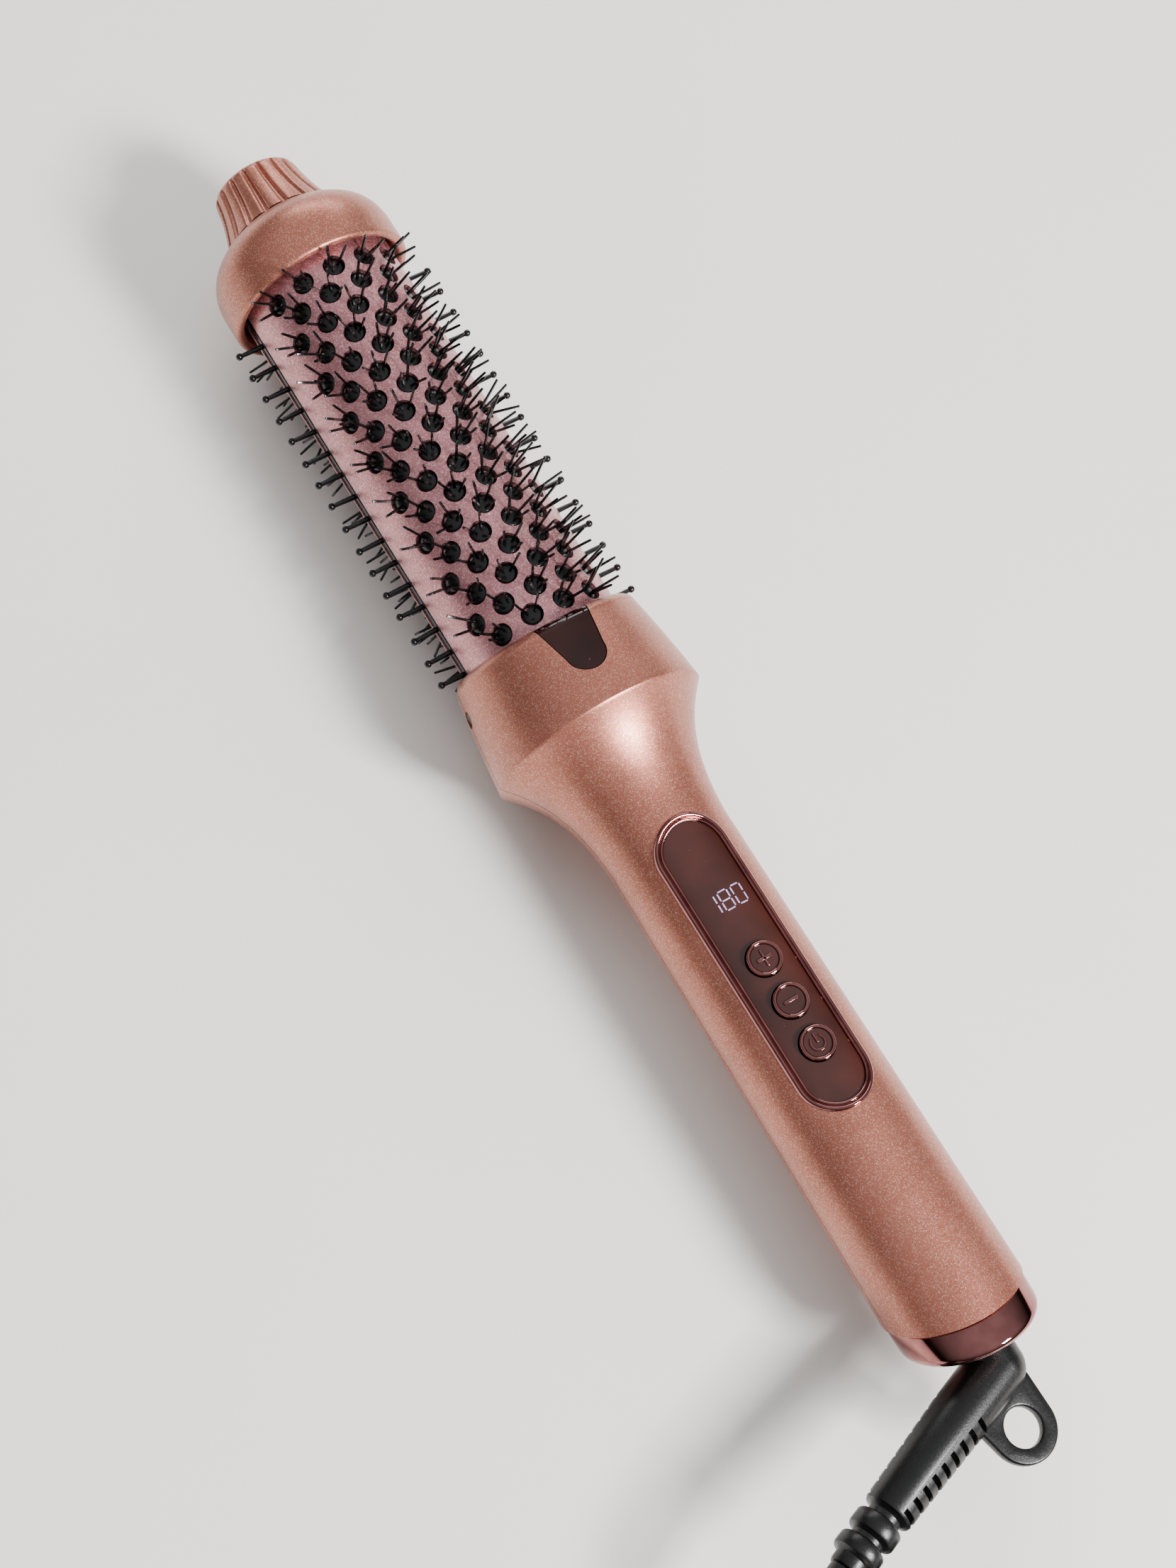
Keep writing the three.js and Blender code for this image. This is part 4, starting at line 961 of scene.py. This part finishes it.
panel = {"start": 184.0, "length": 72.2, "half": 8.75, "rim": 1.9, "drop": 0.3, "ledge": 0.95,
         "button": 3.9, "buttons": (220.1, 230.51, 240.92)}
x0, x1 = panel["start"], panel["start"] + panel["length"]


def handleShell(top):
    outer, inner = handleOutline(0), handleOutline(-grip["wall"])
    profile = outer + [(grip["past"], 13.4)] + list(reversed([p for p in inner if p[0] > 139])) + [
        (138.6, 21.4), (138.6, 19.4), (133.4, 19.4), (131.6, 19.45)]
    shell = sweepBack(spun(profile, 192, True))
    low, high = (grip["gap"], 60) if top else (-60, -grip["gap"])
    side = block((100, -60, low), (400, 60, high))
    port, ledge = grip["port"], panel["ledge"]
    steps = [("INTERSECT", beforeEnd(grip["end"], 100.0)), ("INTERSECT", side),
             ("DIFFERENCE", rod((port, -40, 0), (port, 40, 0), grip["portRadius"], 32))]
    if top:
        steps.append(("DIFFERENCE", prism(windowOutline(0.1), 2, 45)))
        steps.append(("DIFFERENCE", prism(obround(x0 + ledge, x1 - ledge, panel["half"] - ledge, 32), 2, 45)))
    else:
        for x in (creaseScrew, panelScrew):
            steps.append(("DIFFERENCE", rod((x, 0, -40), (x, 0, -7), 2.8, 32)))
    shell = combined(shell, *steps)

    def outerEdge(edge):
        return all(abs(handleGap(v.co)) < 0.05 for v in edge.verts) and edge.verts[0].co.x > 135
    softenEdges(shell, 0.16, 60, 2, outerEdge)
    return shell


creaseScrew, panelScrew = grip["crease"] + 17, x1 + 6
for name, node, top in (("handleUpper", "handle_upper_shell", True), ("handleLower", "handle_lower_shell", False)):
    shell = newPiece(name, handleShell(top), "brush", satinPaint, [node])
    roundNormals(shell.data, handleGap)
print("handle shells ready")

# The window's insert stands just below the bell's skin, with a narrow polished edge.
skin = [p for p in handleOutline(-0.12) if p[0] < 156.5]
back = [p for p in handleOutline(-2.0) if 139 < p[0] < 156.5]
glass = sweepBack(spun(skin + list(reversed(back)) + [(138.8, 21.3), (138.8, 19.6), (133, 19.6)], 192, True))
glass = combined(glass, ("INTERSECT", prism(windowOutline(-0.12), 8, 45)))
softenEdges(glass, 0.2, 55, 2)
window = newPiece("bellWindow", glass, "brush", windowAcrylic, ["bell_window"])
roundNormals(window.data, handleGap)

# ---- control panel

# A band round an obround on the grip: its section is [distance out from the inner edge, height over the skin].
def bandOnGrip(section, start, end, half, count=40):
    bm = bmesh.new()
    rings = []
    for out, rise in section:
        ring = []
        for x, y in obround(start - out, end + out, half + out, count):
            ring.append(bm.verts.new((x, y, math.sqrt(gripRadius(x) ** 2 - y * y) + rise)))
        rings.append(ring)
    for a, b in zip(rings, rings[1:] + rings[:1]):
        for i in range(len(a)):
            k = (i + 1) % len(a)
            bm.faces.new((a[i], a[k], b[k], b[i]))
    faceOut(bm)
    return bm


# Two polished lips with a groove between them; the outer one is the higher.
bezelSection = [(0.02, -2.6), (0.0, -0.2), (0.02, 0.12), (0.1, 0.26), (0.25, 0.34), (0.42, 0.34), (0.56, 0.24),
                (0.64, 0.12), (0.74, 0.1), (0.84, 0.22), (0.95, 0.45), (1.12, 0.62), (1.35, 0.7), (1.58, 0.64),
                (1.76, 0.48), (1.86, 0.28), (1.9, 0.1), (1.9, 0.04), (0.9, 0.04), (0.9, -2.6)]
inner = panel["half"] - panel["rim"]
bezel = bandOnGrip(bezelSection, x0 + panel["rim"], x1 - panel["rim"], inner)
newPiece("panelBezel", bezel, "brush", plating, ["panel_bezel"], sharpAngle=50)

facing = spun([(180, gripRadius(180) - panel["drop"]), (262, gripRadius(262) - panel["drop"]),
               (262, 12.9), (180, 12.9)], 256, True)
wells = joined([rod((x, 0, 5), (x, 0, 30), panel["button"] + 0.22, 48) for x in panel["buttons"]])
facing = combined(facing, ("INTERSECT", prism(obround(x0 + 1.98, x1 - 1.98, inner - 0.08, 32), 8, 30)),
                  ("DIFFERENCE", wells))
softenEdges(facing, 0.14, 60, 1)
facing = newPiece("panelFacing", facing, "brush", facingAcrylic, ["panel_facing"])


def facingGap(point):
    return math.hypot(point.y, point.z) - gripRadius(point.x)


roundNormals(facing.data, facingGap)

# Each key: a dark cap with a plated ring and a plated sign on it.
key = {"radius": 3.9, "proud": 0.7, "sign": 0.4, "signWidth": 0.62, "signLength": 3.7, "sunk": 0.28,
       "height": 3.2}


def barSign(cx, cy, along, across, low, high):
    bm = block((cx - along / 2, cy - across / 2, low), (cx + along / 2, cy + across / 2, high))
    softenEdges(bm, 0.09, 60, 2)
    return bm


def arcSign(cx, radius, width, start, end, low, high):
    outer = arcPoints(cx, 0, radius + width / 2, start, end, 28)
    inner = arcPoints(cx, 0, radius - width / 2, end, start, 28)
    bm = prism(outer + inner, low, high)
    softenEdges(bm, 0.09, 60, 2)
    return bm


for sign, x in zip(("plus", "minus", "power"), panel["buttons"]):
    top = gripRadius(x) + key["proud"]
    floorZ = top - key["sunk"] - 0.2
    capRadius = key["radius"] - 0.1
    cap = spun([(0, 0), (0, capRadius), (3.0, capRadius), (3.0, 3.1), (2.72, 3.05), (2.7, 0)], 64)
    bmesh.ops.transform(cap, verts=cap.verts, matrix=Matrix.Translation((x, 0, top - key["height"]))
                        @ Matrix.Rotation(-math.pi / 2, 4, "Y"))
    stem = rod((x, 0, 9.75), (x, 0, top - 3.0), 1.6, 24)
    newPiece(sign + "Cap", joined([cap, stem]), sign + "_key", facingAcrylic,
             ["button_" + sign], sharpAngle=40)
    ringLow, ringHigh = top - 1.4, top
    ring = spun([(ringLow, 3.02), (ringLow, 3.88), (ringHigh - 0.34, 3.9), (ringHigh - 0.12, 3.8),
                 (ringHigh, 3.6), (ringHigh, 3.34), (ringHigh - 0.12, 3.14), (ringHigh - 0.36, 3.02)], 64, True)
    bmesh.ops.transform(ring, verts=ring.verts, matrix=Matrix.Translation((x, 0, 0))
                        @ Matrix.Rotation(-math.pi / 2, 4, "Y"))
    low, high = floorZ - 0.1, floorZ + key["sign"]
    if sign == "power":
        parts = [arcSign(x, 1.6, key["signWidth"] - 0.1, 217, 503, low, high),
                 barSign(x - 1.1, 0, 2.1, key["signWidth"] - 0.1, low, high)]
    else:
        parts = [barSign(x, 0, key["signWidth"], key["signLength"], low, high)]
        if sign == "plus":
            parts.append(barSign(x, 0, key["signLength"], key["signWidth"], low, high))
    newPiece(sign + "Ring", joined([ring, *parts]), sign + "_key", plating,
             ["button_" + sign], sharpAngle=50)

# The digits just under the facing's skin, shown by a painted glow: seven thin strokes each.
digits = {"centre": 205.2, "value": "180", "tall": 4.4, "wide": 2.3, "pitch": 3.3, "stroke": 0.3}
strokesOf = {"0": "abcdef", "1": "bc", "8": "abcdefg"}
strokePlace = {"a": (0, 1, True), "g": (0, 0, True), "d": (0, -1, True), "f": (-1, 0.5, False),
               "b": (1, 0.5, False), "e": (-1, -0.5, False), "c": (1, -0.5, False)}
parts = []
for i, digit in enumerate(digits["value"]):
    shift = (i - (len(digits["value"]) - 1) / 2) * digits["pitch"]
    for stroke in strokesOf[digit]:
        side, level, flat = strokePlace[stroke]
        y = shift + side * digits["wide"] / 2
        x = digits["centre"] - level * digits["tall"] / 2
        alongY = (digits["wide"] - 0.5) / 2 if flat else digits["stroke"] / 2
        alongX = digits["stroke"] / 2 if flat else (digits["tall"] / 2 - 0.5) / 2
        skinRadius = gripRadius(x) - panel["drop"]
        surface = math.sqrt(skinRadius ** 2 - y * y)
        tilt = Matrix.Rotation(-math.asin(y / skinRadius), 4, "X")
        bar = block((-alongX, -alongY, -0.25), (alongX, alongY, 0.02))
        bmesh.ops.transform(bar, verts=bar.verts, matrix=Matrix.Translation((x, y, surface)) @ tilt)
        parts.append(bar)
newPiece("paintedGlowDigits", joined(parts), "brush", paintedGlowSegment("paintedGlowDigitSegments"), [])
print("panel ready")

# ---- end cap

cap = {"start": 298.8, "thick": 7.9, "radius": 15.2, "round": 2.5, "bore": 6.55}
xa, xb = cap["start"], cap["start"] + cap["thick"]
profile = [(xa, cap["bore"]), (xa, 14.75), (xa + 0.1, 15.05), (xa + 0.4, cap["radius"])]
profile += arcPoints(xb - cap["round"], cap["radius"] - cap["round"], cap["round"], 90, 0, 12)
profile += [(xb, cap["bore"] + 0.5), (xb - 0.15, cap["bore"] + 0.15), (xb - 0.6, cap["bore"])]
bm = spun(profile, 160, True)
for v in bm.verts:
    v.co.x += grip["slope"] * v.co.z
newPiece("endCap", bm, "brush", plating, ["end_cap"], sharpAngle=45)

# ---- the CAD's own nodes that show through gaps keep their shapes and take procedural finishes

heatPlastic = mouldedPlastic("glassFilledNylon", "#211f1d", "#302d2a", 0.5, 0.4, 0.5, IOR=1.53)
steelMetal = bareMetal("zincPlatedSteel", "#a9abb0", "#77797e", 0.3)
brassMetal = bareMetal("turnedBrass", "#b58f4c", "#8a6a35", 0.26)
aluminiumMetal = bareMetal("extrudedAluminium", "#bdbfc3", "#8f9196", 0.38)
ceramicBody = mouldedPlastic("sinteredAlumina", "#d9d5c9", "#c9c3b2", 0.65, 0.5, 0.3, IOR=1.76)
boardLaminate = mouldedPlastic("greenBoardLaminate", "#1b5433", "#256a42", 0.4, 1.2, 0.15, IOR=1.55)
leadSleeve = mouldedPlastic("siliconeLeadSleeve", "#2a2826", "#3a3733", 0.55, 0.6, 0.2, IOR=1.42)
carried = {
    heatPlastic: ("tip_plate", "barrel_mount", "swivel_bush", "contact_block", "switch_plus", "switch_minus",
                  "switch_power", "display_module"),
    steelMetal: ("tip_screw", "handle_screw_front", "handle_screw_rear", "thermal_fuse"),
    brassMetal: ("slip_ring_front", "slip_ring_rear"),
    aluminiumMetal: ("heater_sleeve",),
    ceramicBody: ("heater_element", "temperature_sensor"),
    boardLaminate: ("control_board",),
    leadSleeve: ("heater_lead_left", "heater_lead_right"),
    nylon: ("left_port_plug", "right_port_plug"),
}
for material, names in carried.items():
    for name in names:
        nodes[name].data.materials.clear()
        nodes[name].data.materials.append(material)
print("carried nodes ready")
